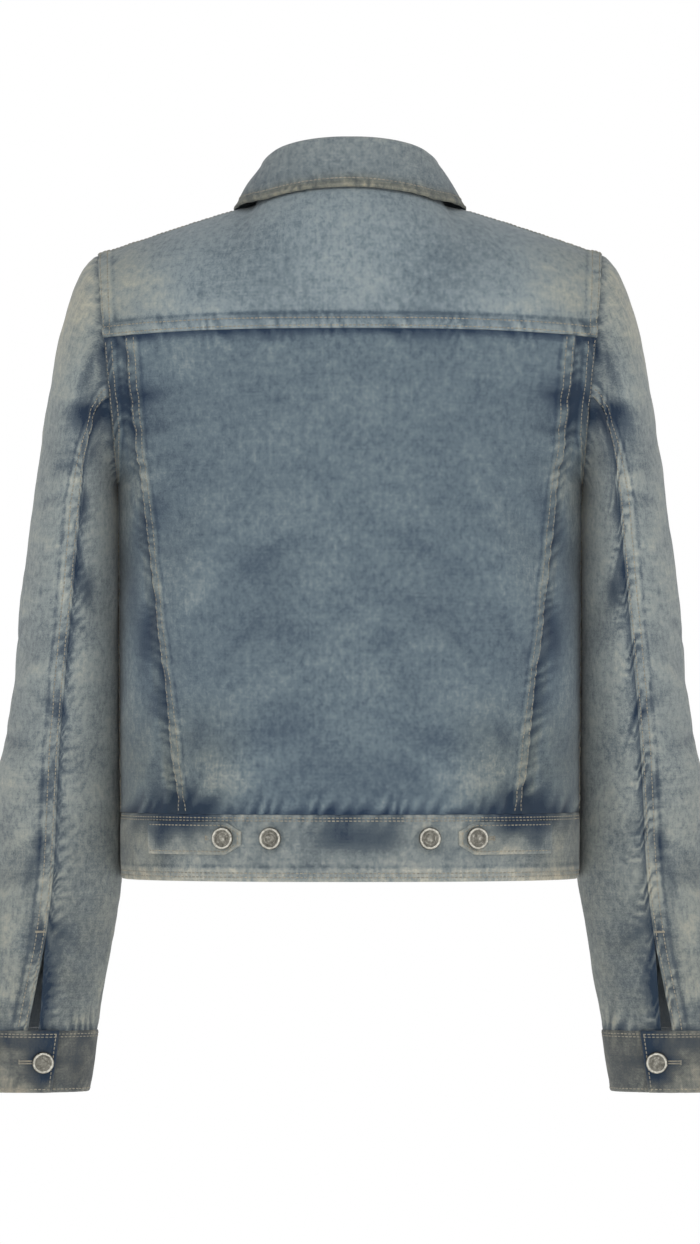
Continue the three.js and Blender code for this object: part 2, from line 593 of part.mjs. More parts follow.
// The cuff winds once round the wrist, and its free end laps over its start
function addCuffs() {
  const start = SLEEVE_BACK_SEAM - CUFF_LAP_STEPS;
  const end = SLEEVE_BACK_SEAM + RING_STEPS - 0.1;
  const { from, to } = CUFF_RAMP_STEPS;
  const over = (step) => 1 - THREE.MathUtils.smoothstep(step - SLEEVE_BACK_SEAM, from, to);
  const surface = (step, drop) => {
    const centre = (column) => smoothColumn(SLEEVE, "drop", drop, column);
    const made = sleeveRing(step, drop);
    const away = point(made.x - centre("centre_x"), made.y - centre("centre_y"), 0);
    return made.addScaledVector(away.normalize(), over(step) * (DOUBLE_CLOTH + SEAM_GAP) + BAND_OUT);
  };
  const columns = steps(start, end, 30);
  const drops = steps(CUFF_TOP_DROP + SEAM_GAP, CUFF_END_DROP, 2);
  for (const { name, mirror } of SIDES)
    add(`cuff_${name}`, wall(surface, columns, drops, { thickness: DOUBLE_CLOTH, mirror, flip: true }));
  const buttonStep = SLEEVE_BACK_SEAM - CUFF_LAP_STEPS / 2;
  const buttonDrop = (CUFF_TOP_DROP + CUFF_END_DROP) / 2;
  const face = surface(buttonStep, buttonDrop);
  const across = surface(buttonStep + 0.3, buttonDrop).sub(surface(buttonStep - 0.3, buttonDrop));
  const along = surface(buttonStep, buttonDrop + 1).sub(face);
  const outward = along.cross(across).normalize();
  for (const { name, mirror } of SIDES) addButton(`button_cuff_${name}`, face, outward, mirror);
}

// A tack button standing on the cloth: a shank, a domed rim and a dished middle
function addButton(name, face, outward, mirror = false) {
  const { radius, height, shank_radius, rim, segments } = BUTTON;
  const profile = [
    [0, SEAM_GAP],
    [shank_radius, SEAM_GAP],
    [shank_radius, height * 0.45],
    [radius, height * 0.6],
    [radius - rim, height],
    [0, height * 0.82],
  ].map(([r, y]) => new THREE.Vector2(r, y));
  const mesh = add(name, new THREE.LatheGeometry(profile, segments), "metal");
  const side = mirror ? -1 : 1;
  const facing = point(outward.x * side, outward.y, outward.z).normalize();
  mesh.position.set(face.x * side, face.y, face.z);
  mesh.quaternion.setFromUnitVectors(point(0, 1, 0), facing);
}

function addButtons() {
  const bandOut = BAND_OUT + DOUBLE_CLOTH + SEAM_GAP;
  FRONT_BUTTON_Z.forEach((z, k) => {
    const onBand = z < WAIST_SEAM_Z;
    const row = onBand ? lowerRow(z) : rowAtMiddleFront(z);
    const face = bodyPoint(1, 0, row);
    const across = bodyPoint(1, 0, row + 0.01).sub(face).normalize();
    const outward = point(0, across.z, -across.y).normalize();
    face.addScaledVector(outward, onBand ? bandOut : PLACKET_OUT);
    addButton(`button_front_${k + 1}`, face, outward);
  });
  const row = lowerRow(TAB.middle_z);
  const places = [
    { label: "tab", x: TAB_BUTTON_X, out: BAND_OUT + SEAM_GAP + TAB_THICKNESS },
    { label: "band", x: FREE_BUTTON_X, out: BAND_OUT + SEAM_GAP },
  ];
  for (const { label, x, out } of places) {
    const share = shareAt(-1, row, x);
    const face = bodyPoint(-1, share, row);
    const across = bodyPoint(-1, share + 0.01, row).sub(face).normalize();
    const outward = point(-across.y, across.x, 0).multiplyScalar(across.x > 0 ? -1 : 1).normalize();
    for (const { name, mirror } of SIDES)
      addButton(`button_${label}_${name}`, face.clone().addScaledVector(outward, out), outward, mirror);
  }
}

// The row at which the middle of the front has a height
function rowAtMiddleFront(z) {
  let [low, high] = [WAIST_ROW, ARMHOLE_STEPS];
  for (let k = 0; k < 30; k++) {
    const middle = (low + high) / 2;
    if (bodyPoint(1, 0, middle).z < z) low = middle;
    else high = middle;
  }
  return (low + high) / 2;
}

addBack();
addFronts();
addWaistband();
addTabs();
addCollar();
addSleeves();
addCuffs();
addButtons();

export default group;
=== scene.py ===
# A short denim jacket seen from behind, filled out as if worn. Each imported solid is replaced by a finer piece
# of the same form, and its stitches are added in thread. Formulas are in millimetres, meshes in metres.
import math

import bpy
import numpy as np
from mathutils import Matrix, Vector


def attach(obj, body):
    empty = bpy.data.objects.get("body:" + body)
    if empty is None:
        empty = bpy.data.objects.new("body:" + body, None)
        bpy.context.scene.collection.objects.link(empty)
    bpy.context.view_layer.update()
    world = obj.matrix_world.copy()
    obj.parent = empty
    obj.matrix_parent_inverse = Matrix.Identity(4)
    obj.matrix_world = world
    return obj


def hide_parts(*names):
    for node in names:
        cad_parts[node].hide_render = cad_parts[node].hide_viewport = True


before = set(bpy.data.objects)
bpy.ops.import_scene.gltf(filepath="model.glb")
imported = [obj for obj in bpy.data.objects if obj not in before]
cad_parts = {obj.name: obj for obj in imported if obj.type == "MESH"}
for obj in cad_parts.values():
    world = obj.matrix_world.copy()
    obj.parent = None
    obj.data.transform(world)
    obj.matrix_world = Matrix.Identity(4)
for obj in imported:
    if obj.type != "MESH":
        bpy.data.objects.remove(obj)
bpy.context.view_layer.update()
MM = 0.001

# The cut, as in the solids
HEM_Z = -518
WAIST_SEAM_Z = -467
UNDERARM_Z = -215
YOKE_SEAM_Z = -98
CHEST_ROW_Z = -130
NECK_HALF_WIDTH = 72
NECK_HALF_DEPTH = 62
NECK_BACK_RISE = 20
NECK_FRONT_DROP = 76
NECK_MIDDLE_Y = 2
SHOULDER_TIP = (194, 6, -39)
SHOULDER_CROWN = 1
UNDERARM_X = 178
ARMHOLE_DEPTH = {"back": 62, "front": 56}
BODY_HALF_WIDTH = 178
BODY_DEPTH = 120
CLOTH = 1.6
DOUBLE_CLOTH = 3
BAND_OUT = 1
BAND_RAMP = 14
BAND_LAP_MARGIN = 1.1
SEAM_GAP = 0.3
SEWN_GAP = 0.1
HALF_GAP = SEWN_GAP / 2
SQUARENESS = 0.87
LOFT_HANDLE = 0.38
NECK_LEAN = {"back": 0.9, "front": 1.4}
NECK_SHAPE = {"back": 1.2, "front": 1.7}
ARMHOLE_STEPS = 12
YOKE_ROW = 7
NECK_SHARE = 0.4
WAIST_ROW = -1
SIDE_SEAM_TOP_X = 172
SIDE_SEAM_WAIST_X = 131
SLEEVE_RING_DROP = 235
SLEEVE_HEAD = {"leave": (4, 24), "arrive": (8, 110), "lean": 0.29}
CUFF_TOP_DROP = 636
CUFF_END_DROP = 684
SLEEVE_BACK_SEAM = 5
SLEEVE_FRONT_SEAM = 21
RING_STEPS = 24
SLEEVE_STEP_LENGTH = 14
SLEEVE_START = 0.003
VENT_LENGTH = 78
VENT_HALF_WIDTH = 4.5
CUFF_LAP_STEPS = 1.5
CUFF_RAMP_STEPS = (0.2, 2.4)
FOLD_FADE = {"side": 6, "waist": 9, "armhole": 4, "cuff": 12}
PLACKET_HALF_WIDTH = 16
PLACKET_LAP = 6
PLACKET_THICKNESS = 2.2
PLACKET_OUT = PLACKET_THICKNESS + 0.7
PLACKET_TOP_GAP_ROWS = 0.45
FRONT_BUTTON_Z = (-102, -176, -248, -324, -400, -493)
TAB = {"outer_x": 152, "tip_x": 82, "middle_z": -485, "half_height": 12.5, "tip_half_height": 5, "point": 12}
TAB_THICKNESS = 1.8
TAB_BUTTON_X = 95
FREE_BUTTON_X = 60
COLLAR_THICKNESS = 2.4
COLLAR_FOLD_RADIUS = 4.2
COLLAR_END = 0.91
COLLAR_BASE_OUT = -2
COLLAR_BASE_UP = 0.7
LEAF_CROWN = 2.5
LEAF_CLEARANCE = 2.2
LEAF_LIFT = 3
LEAF_REACH = 7
SMALL_STEP = 0.004
ROW_STEP = 0.05
FACE_STEP = 0.01
UNDER_COLLAR_SHARES = (0, 0.7201, 0.03)
UNDER_COLLAR_ROW = 0.25
SHARE_HALVINGS = 24
ROW_HALVINGS = 30


def table(columns, *rows):
    """Named columns of a table, each as an array."""
    return {name: np.array(values, float) for name, values in zip(columns.split(), zip(*rows))}


BODY = table(
    "z half_width back front",
    (-520, 175, 115, 112),
    (-472, 175.5, 118, 115),
    (-440, 176, 122, 118),
    (-380, 176.5, 125, 120),
    (-300, 177, 125, 120),
    (-215, 178, 121, 117),
    (-150, 180, 115, 111),
    (-98, 180, 107, 96),
)
SLEEVE = table(
    "drop centre_x centre_y half_width half_depth twist",
    (235, 213, -2, 31.5, 77, 2),
    (290, 215, 4, 36.8, 73, 8),
    (346, 218.2, 9, 40.8, 68, 12),
    (410, 221.8, 13, 44.2, 60.5, 15),
    (470, 225.2, 18, 48.1, 52.5, 15),
    (520, 228.2, 23, 51.2, 45.5, 15),
    (558, 233, 26, 50.5, 41.5, 15),
    (600, 239, 29, 49.5, 36, 15),
    (643, 245, 32, 48.5, 31, 15),
    (684, 250.5, 35, 48, 28, 15),
)
COLLAR = table(
    "place fold_out fold_up edge_out edge_up",
    (0, -2, 30, 14, -8),
    (0.25, -3, 31, 16, -9),
    (0.38, -5, 30, 17, -5),
    (0.5, -6, 28, 17, -1),
    (0.62, -5, 27, 21, -3),
    (0.78, -3, 24, 29, -16),
    (0.9, -1, 20, 33, -33),
    (1, 0, 17, 34, -42),
)
FOLD_COLUMNS = "x z lean along across depth"
BACK_FOLDS = table(
    FOLD_COLUMNS,
    (56, -397, 28, 62, 17, 4),
    (0, -438, 0, 38, 22, -3.5),
    (92, -440, 62, 40, 15, 3),
    (70, -298, 62, 46, 24, -3.5),
    (148, -346, 96, 40, 15, -4.5),
    (150, -262, 40, 46, 15, -4),
    (122, -288, 66, 50, 15, 3),
    (168, -165, 16, 34, 15, -5),
    (138, -448, 86, 34, 14, -5),
)
FRONT_FOLDS = table(
    FOLD_COLUMNS,
    (118, -432, 84, 42, 15, -4.5),
    (78, -396, 58, 58, 18, 3.5),
    (142, -244, 38, 46, 16, -4.5),
    (104, -322, -36, 58, 20, -3),
)
SLEEVE_FOLDS = table(
    "step drop lean along across depth",
    (7, 186, 6, 40, 15, -6),
    (17, 200, -25, 44, 16, -5),
    (3.5, 300, 34, 42, 16, -4),
    (9, 345, -30, 46, 17, -5),
    (7, 400, 22, 46, 17, -5),
    (10, 440, -18, 44, 16, 3.5),
    (17.5, 372, 10, 48, 17, -7),
    (18, 424, -14, 48, 16, -5),
    (8, 508, -26, 44, 17, -5),
    (14, 556, 20, 44, 17, -4.5),
    (9, 602, 8, 42, 15, -3.5),
    (21.4, 385, 90, 170, 15, 6.5),
)

# Smaller creases that only the cloth shows. Those of the back and fronts are mirrored with their folds;
# the second table of each is for one side only, so the two sides differ.
BACK_CREASES = table(
    FOLD_COLUMNS,
    (158, -150, 14, 24, 4.5, -2.2),
    (164, -176, 8, 26, 4, -1.7),
    (160, -204, 22, 22, 4, -1.4),
    (152, -318, 74, 20, 5, -1.6),
    (142, -372, 100, 24, 5, -1.8),
    (150, -402, 80, 22, 5, 1.3),
    (133, -458, 88, 16, 4.5, -2),
    (146, -456, 96, 15, 4.5, -1.9),
    (119, -452, 76, 17, 4.5, -1.6),
    (104, -458, 70, 14, 4, -1.2),
    (66, -410, 30, 60, 17, -1.6),
    (40, -392, 26, 34, 6, 0.6),
    (30, -452, 16, 26, 5, -1.2),
    (88, -340, 48, 30, 6, -1.1),
    (60, -268, 30, 34, 7, -1),
    (112, -236, 52, 30, 6, 1),
    (38, -330, -20, 34, 8, -0.9),
)
RIGHT_BACK_CREASES = table(
    FOLD_COLUMNS,
    (96, -384, 20, 28, 5, 1),
    (124, -330, 60, 22, 5, -1.1),
    (48, -224, 12, 36, 7, -0.8),
    (20, -362, 34, 26, 5, 0.8),
)
LEFT_BACK_CREASES = table(
    FOLD_COLUMNS,
    (84, -366, 34, 30, 5, -1),
    (116, -300, 44, 24, 6, 1.1),
    (34, -250, -14, 34, 6, 0.8),
    (72, -456, 60, 18, 4, -1.1),
)
FRONT_CREASES = table(
    FOLD_COLUMNS,
    (150, -200, 26, 30, 5, -1.8),
    (128, -222, 34, 34, 5, 1.2),
    (136, -452, 84, 18, 5, -1.7),
    (104, -456, 74, 16, 5, -1.4),
    (84, -430, 58, 30, 6, 1.2),
    (60, -350, -30, 34, 7, -1.1),
    (96, -280, -44, 30, 6, 1),
    (52, -442, 40, 24, 5, -1),
    (70, -230, 20, 36, 7, -0.9),
)
SLEEVE_CREASES = table(
    "step drop lean along across depth",
    (5.5, 160, 10, 22, 4.5, -2),
    (6.5, 204, 2, 26, 4.5, -1.9),
    (8, 228, -8, 24, 4.5, -1.5),
    (18, 176, -20, 24, 5, -1.7),
    (20, 218, -28, 26, 5, -1.6),
    (7, 262, 16, 24, 5, 1.2),
    (4.5, 322, 28, 22, 5, -1.6),
    (10, 326, -24, 28, 5, -1.5),
    (8, 362, -20, 26, 4.5, 1.3),
    (6, 384, 30, 24, 5, -1.8),
    (9, 412, 12, 28, 5, -1.6),
    (5, 436, -18, 22, 4.5, -1.4),
    (19, 350, 18, 28, 5, -2),
    (20, 394, -8, 30, 5, -2.1),
    (17, 440, -20, 28, 5, -1.7),
    (11, 470, 22, 30, 5, -1.3),
    (6, 488, -26, 26, 5, -1.7),
    (8, 530, -18, 28, 5, 1.4),
    (4, 560, 34, 20, 4.5, -1.5),
    (10, 576, 14, 30, 5, -1.5),
    (15, 590, -14, 28, 5, -1.4),
    (8, 616, 6, 26, 4, -1.5),
    (12, 624, -10, 24, 4, -1.2),
    (23, 236, 90, 26, 20, 6.5),
    (22, 262, 90, 26, 16, 4),
)

# Darker (below 0) and paler places of the cloth, in the columns of folds with a shade in place of a depth.
# Most are indigo that stayed dark or faded; the rows so marked are painted shade and painted light
BACK_SHADES = table(
    "x z lean along across shade",
    (184, -118, 88, 26, 7, -0.45),
    (172, -148, 8, 19, 13, -0.74),
    (182, -168, 0, 20, 9, -0.25),
    (172, -192, 70, 20, 8, -0.12),
    # Painted light on the body's side, where the sleeve beside it shades it
    (173, -232, 88, 44, 12, 0.3),
    (160, -214, 60, 16, 9, 0.3),
    (156, -248, 62, 24, 9, -0.34),
    (146, -288, 84, 18, 9, 0.2),
    (155, -334, 88, 26, 8, -0.5),
    (166, -300, 88, 20, 5, -0.25),
    (165, -372, 88, 22, 6, 0.16),
    (147, -386, 84, 16, 7, -0.34),
    (132, -404, 70, 20, 8, 0.14),
    (116, -408, 70, 14, 6, -0.24),
    (130, -467, 0, 28, 14, -1.2),
    (142, -486, 90, 12, 6, -0.4),
    (150, -440, 80, 16, 7, -0.2),
    (122, -448, 74, 14, 5, -0.22),
    (0, -484, 0, 34, 15, -0.62),
    # These two are painted shade on the lower back's fold ridges, which the lamps light from above
    (96, -422, 24, 34, 14, -0.05),
    (60, -402, 30, 40, 12, -0.08),
    (10, -360, 60, 24, 16, 0.05),
    (48, -438, 34, 34, 12, -0.14),
    (108, -438, 10, 38, 19, 0.38),
    (0, -436, 0, 30, 14, -0.1),
    (0, -466, 0, 46, 7, -0.3),
    (104, -180, 60, 60, 34, -0.06),
    (70, -298, 60, 34, 24, -0.06),
    (66, -62, 80, 26, 26, -0.09),
    (92, -40, 30, 34, 18, -0.05),
    (0, -44, 90, 50, 30, 0.07),
    (124, -84, 0, 30, 9, 0.22),
    (168, -66, 20, 34, 22, 0.3),
    (0, -94, 0, 190, 10, -0.1),
    (60, -104, 0, 22, 5, -0.2),
    (90, -512, 0, 90, 7, 0.2),
)
FRONT_SHADES = table(
    "x z lean along across shade",
    (160, -170, 20, 28, 12, -0.5),
    (140, -458, 0, 26, 10, -0.6),
    (150, -300, 84, 40, 12, -0.25),
    (84, -412, 40, 44, 14, 0.16),
    (80, -180, 80, 60, 34, 0.12),
    (110, -60, 10, 50, 22, 0.14),
)
SLEEVE_SHADES = table(
    "step drop lean along across shade",
    (6.6, 124, 90, 26, 6, -0.36),
    (5.6, 164, 4, 24, 12, -0.78),
    (4.6, 190, 30, 16, 8, -0.25),
    (7.4, 150, 0, 22, 9, 0.2),
    (6.2, 212, 10, 16, 9, 0.24),
    (4.8, 234, 70, 12, 8, -0.4),
    (4.9, 280, 84, 14, 8, -0.5),
    (3.8, 296, 84, 12, 7, -0.45),
    (5.9, 292, 84, 22, 9, 0.16),
    (5.2, 340, 84, 14, 7, -0.42),
    (4.1, 350, 84, 22, 7, 0.24),
    (5.3, 386, 80, 12, 7, -0.5),
    (6.2, 410, 84, 20, 8, 0.16),
    (5.4, 424, 84, 12, 6, -0.3),
    (5.6, 450, 80, 13, 7, -0.5),
    (4.4, 446, 84, 16, 6, 0.2),
    (5.9, 496, 84, 14, 7, -0.45),
    (6.9, 486, 84, 16, 8, 0.22),
    (6.5, 516, 84, 16, 6, -0.3),
    (5.2, 530, 84, 18, 6, 0.12),
    (7.4, 556, 80, 14, 8, 0.3),
    (5.4, 566, 84, 18, 7, -0.45),
    # These two are painted shadow beside the edges of the sleeve's vent
    (4.5, 604, 90, 30, 7, -0.6),
    (5.9, 606, 90, 26, 5, -0.3),
    (7.4, 606, 90, 14, 9, 0.2),
    (9, 330, 90, 150, 26, 0.1),
    # These two are painted highlight on the top of the sleeve and on its head
    (13, 180, 90, 90, 26, 0.3),
    (10.5, 82, 90, 52, 34, 0.4),
    (12, 420, 90, 120, 22, 0.14),
    (22, 360, 90, 120, 16, -0.3),
    (9, 628, 0, 30, 8, -0.3),
    (3.2, 580, 90, 62, 34, -0.22),
    # Painted light on the under sleeve beside the body, which shades it
    (2, 270, 90, 60, 22, 0.12),
)


def mix(a, b, t):
    return a + (b - a) * t


def smoothstep(x, low, high):
    """From 0 at low to 1 at high, with soft ends."""
    t = np.clip((x - low) / (high - low), 0, 1)
    return t * t * (3 - 2 * t)


def xyz(x, y, z):
    return np.stack(np.broadcast_arrays(x, y, z), axis=-1).astype(float)


def unit(v):
    return v / np.maximum(np.linalg.norm(v, axis=-1, keepdims=True), 1e-12)


def smooth_column(rows, key, place, column):
    """The value of a column anywhere between a table's rows, on a smooth curve through them."""
    keys, values = rows[key], rows[column]
    before = np.maximum(np.arange(len(keys)) - 1, 0)
    after = np.minimum(np.arange(len(keys)) + 1, len(keys) - 1)
    slope = (values[after] - values[before]) / (keys[after] - keys[before])
    i = np.searchsorted(keys[1:-1], place, side="left")
    span = keys[i + 1] - keys[i]
    t = np.clip((place - keys[i]) / span, 0, 1)
    a, b = values[i], values[i + 1]
    rise, fall = slope[i] * span, slope[i + 1] * span
    return a + t * (rise + t * (3 * (b - a) - 2 * rise - fall + t * (2 * (a - b) + rise + fall)))


def rising(distance, steepness):
    """From 0 at an edge to 1 further in, in a straight line."""
    return np.clip(distance * steepness, 0, 1)


def bell(distance, reach):
    """1 where the distance is 0, and next to nothing from about two reaches away."""
    return np.exp(-((distance / reach) ** 2))


def soft_marks(marks, right_of, above, value):
    """The sum of soft marks. right_of and above give the way from each mark, value the column it adds."""
    total = 0.0
    for k in range(len(marks["lean"])):
        lean = math.radians(marks["lean"][k])
        right, up = right_of(k), above(k)
        along = right * math.cos(lean) + up * math.sin(lean)
        across = up * math.cos(lean) - right * math.sin(lean)
        reach, width = marks["along"][k], marks["across"][k]
        total = total + marks[value][k] * np.exp(-((along / reach) ** 2) - (across / width) ** 2)
    return total


def body_marks(marks, points, value="depth"):
    """The marks of a body table at points of the body, the same on both sides."""
    x, z = np.abs(points[..., 0]), points[..., 2]
    return soft_marks(marks, lambda k: marks["x"][k] - x, lambda k: z - marks["z"][k], value)


def sleeve_marks(marks, step, drop, value="depth"):
    """The marks of a sleeve table at steps round the sleeve and drops down it."""
    def apart(k):
        turned = (step - marks["step"][k] + RING_STEPS * 1.5) % RING_STEPS
        return (turned - RING_STEPS / 2) * SLEEVE_STEP_LENGTH

    return soft_marks(marks, apart, lambda k: marks["drop"][k] - drop, value)


def armhole_point(side, row):
    """A point of the armhole, from the underarm at row 0 up to the shoulder's tip."""
    turn = math.pi * row / ARMHOLE_STEPS
    rise = (1 - np.cos(turn)) / 2
    depth = ARMHOLE_DEPTH["back" if side < 0 else "front"]
    tip_x, _, tip_z = SHOULDER_TIP
    return xyz(mix(UNDERARM_X, tip_x, rise), side * depth * np.sin(turn), mix(UNDERARM_Z, tip_z, rise))


def row_point(side, share, row):
    """A point of the body up to its yoke row, before its folds."""
    share, row = np.broadcast_arrays(share, row)
    upper = row > 0
    top_z = YOKE_SEAM_Z if side < 0 else CHEST_ROW_Z
    lower_z = UNDERARM_Z + row * (UNDERARM_Z - WAIST_SEAM_Z)
    middle_z = np.where(upper, mix(UNDERARM_Z, top_z, row / YOKE_ROW), lower_z)
    depth = smooth_column(BODY, "z", middle_z, "back" if side < 0 else "front")
    side_seam = xyz(smooth_column(BODY, "z", middle_z, "half_width"), 0, middle_z)
    edge = np.where(upper[..., None], armhole_point(side, row), side_seam)
    last = np.arccos((np.abs(edge[..., 1]) / depth) ** (1 / SQUARENESS))
    turn = np.minimum(share * last, math.pi / 2)
    return xyz(
        edge[..., 0] * np.maximum(np.sin(turn) / np.sin(last), 0) ** SQUARENESS,
        side * depth * np.maximum(np.cos(turn), 0) ** SQUARENESS,
        mix(middle_z, edge[..., 2], share * share),
    )


def neckline_point(side, share):
    turn = share * math.pi / 2
    cosine = np.maximum(np.cos(turn), 0)
    if side < 0:
        lift = NECK_BACK_RISE * cosine ** NECK_SHAPE["back"]
    else:
        lift = -NECK_FRONT_DROP * cosine ** NECK_SHAPE["front"]
    return xyz(NECK_HALF_WIDTH * np.sin(turn), NECK_MIDDLE_Y + side * NECK_HALF_DEPTH * cosine, lift)


def top_point(side, share):
    """A point of the top edge: the neckline, and then the shoulder line out to its tip."""
    f = (share - NECK_SHARE) / (1 - NECK_SHARE)
    tip_x, tip_y, tip_z = SHOULDER_TIP
    crown = SHOULDER_CROWN * np.sin(math.pi * f)
    ridge = xyz(mix(NECK_HALF_WIDTH, tip_x, f), mix(NECK_MIDDLE_Y, tip_y, f), tip_z * f + crown)
    neck = neckline_point(side, np.minimum(share / NECK_SHARE, 1))
    return np.where((share <= NECK_SHARE)[..., None], neck, ridge)


def bezier(start, first, second, end, t):
    t, s = t[..., None], 1 - t[..., None]
    return s**3 * start + 3 * s * s * t * first + 3 * s * t * t * second + t**3 * end


def loft_point(side, share, row):
    """A point above the yoke row, on a curve that leaves the body upwards and turns over to the top edge."""
    t = (row - YOKE_ROW) / (ARMHOLE_STEPS - YOKE_ROW)
    start = row_point(side, share, np.full_like(row, YOKE_ROW))
    end = top_point(side, share)
    handle = LOFT_HANDLE * np.linalg.norm(end - start, axis=-1, keepdims=True)
    up = unit(start - row_point(side, share, np.full_like(row, YOKE_ROW - ROW_STEP))) * handle
    lean = np.maximum(0, 1 - share / NECK_SHARE) * NECK_LEAN["back" if side < 0 else "front"]
    over = unit(xyz(0, -side, lean)) * handle
    return bezier(start, start + up, end - over, end, t)


def body_point(side, share, row):
    """A point of the body: side is -1 for the back and 1 for the front, share runs from -1 to 1 across it."""
    share, row = np.broadcast_arrays(np.asarray(share, float), np.asarray(row, float))
    out = np.abs(share)
    lofted = loft_point(side, out, np.maximum(row, YOKE_ROW))
    made = np.where((row > YOKE_ROW)[..., None], lofted, row_point(side, out, np.minimum(row, YOKE_ROW)))
    depth = body_marks(BACK_FOLDS if side < 0 else FRONT_FOLDS, made)
    fade = np.minimum(1, (1 - out) * FOLD_FADE["side"])
    fade = fade * np.clip((row - WAIST_ROW) * FOLD_FADE["waist"], 0, 1)
    away = unit(xyz(made[..., 0] / BODY_HALF_WIDTH**2, made[..., 1] / BODY_DEPTH**2, 0))
    made = made + away * (depth * fade)[..., None]
    made[..., 0] *= np.where(share < 0, -1, 1)
    return made


def armhole_ring(step):
    s = np.mod(step, RING_STEPS)
    back = body_point(-1, np.ones_like(s), np.minimum(s, ARMHOLE_STEPS))
    front = body_point(1, np.ones_like(s), np.clip(RING_STEPS - s, 0, ARMHOLE_STEPS))
    return np.where((s <= ARMHOLE_STEPS)[..., None], back, front)


def sleeve_ring(step, drop):
    def at(column):
        return smooth_column(SLEEVE, "drop", drop, column)

    turn = np.radians(step * 360 / RING_STEPS + at("twist"))
    x = at("centre_x") - at("half_width") * np.cos(turn)
    y = at("centre_y") - at("half_depth") * np.sin(turn)
    return xyz(x, y, -drop)


def plain_sleeve_point(step, reach):
    """A point of the sleeve before its folds: reach 0 to 1 is its head, 1 to 2 the way down to the cuff."""
    step, reach = np.broadcast_arrays(np.asarray(step, float), np.asarray(reach, float))
    lower = sleeve_ring(step, mix(SLEEVE_RING_DROP, CUFF_TOP_DROP, np.maximum(reach, 1) - 1))
    height = (1 - np.cos(2 * math.pi * step / RING_STEPS)) / 2
    start = armhole_ring(step)
    ring = np.full_like(step, SLEEVE_RING_DROP)
    end = sleeve_ring(step, ring)
    leave = mix(*SLEEVE_HEAD["leave"], height)[..., None]
    arrive = mix(*SLEEVE_HEAD["arrive"], height)[..., None]
    outward = unit(xyz(1, 0, -SLEEVE_HEAD["lean"] * height)) * leave
    down = unit(end - sleeve_ring(step, ring + 1)) * arrive
    head = bezier(start, start + outward, end + down, end, np.minimum(reach, 1))
    return np.where((reach > 1)[..., None], lower, head)


def sleeve_point(step, reach):
    made = plain_sleeve_point(step, reach)
    drop = -made[..., 2]
    depth = sleeve_marks(SLEEVE_FOLDS, step, drop)
    fade = np.minimum(1, reach * FOLD_FADE["armhole"]) * np.minimum(1, (2 - reach) * FOLD_FADE["cuff"])
    centre_x = smooth_column(SLEEVE, "drop", np.maximum(drop, SLEEVE_RING_DROP), "centre_x")
    away = unit(xyz(made[..., 0] - centre_x, made[..., 1], 0))
    return made + away * (depth * fade)[..., None]


def share_at(side, row, x):
    """The share at which a body row reaches a distance x from the middle line."""
    row, x = np.broadcast_arrays(np.asarray(row, float), np.asarray(x, float))
    low, high = np.zeros_like(row), np.ones_like(row)
    for _ in range(SHARE_HALVINGS):
        middle = (low + high) / 2
        short = body_point(side, middle, row)[..., 0] < x
        low, high = np.where(short, middle, low), np.where(short, high, middle)
    return (low + high) / 2


def nudged(side, share, row, distance):
    """A share moved by millimetres along its row, to leave half a seam's gap."""
    share = np.broadcast_to(np.asarray(share, float), np.shape(row))
    start = np.where(share > 0.5, share - SMALL_STEP, share)
    step = body_point(side, start + SMALL_STEP, row) - body_point(side, start, row)
    return share + distance * SMALL_STEP / np.linalg.norm(step, axis=-1)


def under_collar():
    """Points of the cloth round the neck and their outward directions, for the collar's leaf to lie on."""
    faces, outs = [], []
    rows = np.arange(YOKE_ROW, ARMHOLE_STEPS + FACE_STEP, UNDER_COLLAR_ROW)
    for side in (-1, 1):
        share, row = np.meshgrid(np.arange(*UNDER_COLLAR_SHARES), rows)
        face = body_point(side, share, row)
        across = body_point(side, share + FACE_STEP, row) - face
        along = face - body_point(side, share, row - FACE_STEP)
        faces.append(face.reshape(-1, 3))
        outs.append((unit(np.cross(across, along)) * -side).reshape(-1, 3))
    return np.concatenate(faces), np.concatenate(outs)


UNDER_COLLAR = under_collar()


def lift_clear(made, clearance):
    """Moves points of the leaf outwards until they are clear of the cloth under them."""
    faces, outs = UNDER_COLLAR
    apart = made[:, None, :] - faces[None]
    weight = np.exp(-(apart**2).sum(-1) / LEAF_REACH**2) + 1e-30
    height = (weight * (apart * outs[None]).sum(-1)).sum(1) / weight.sum(1)
    outward = unit((weight[..., None] * outs[None]).sum(1))
    return made + outward * np.maximum(clearance - height, 0)[:, None]


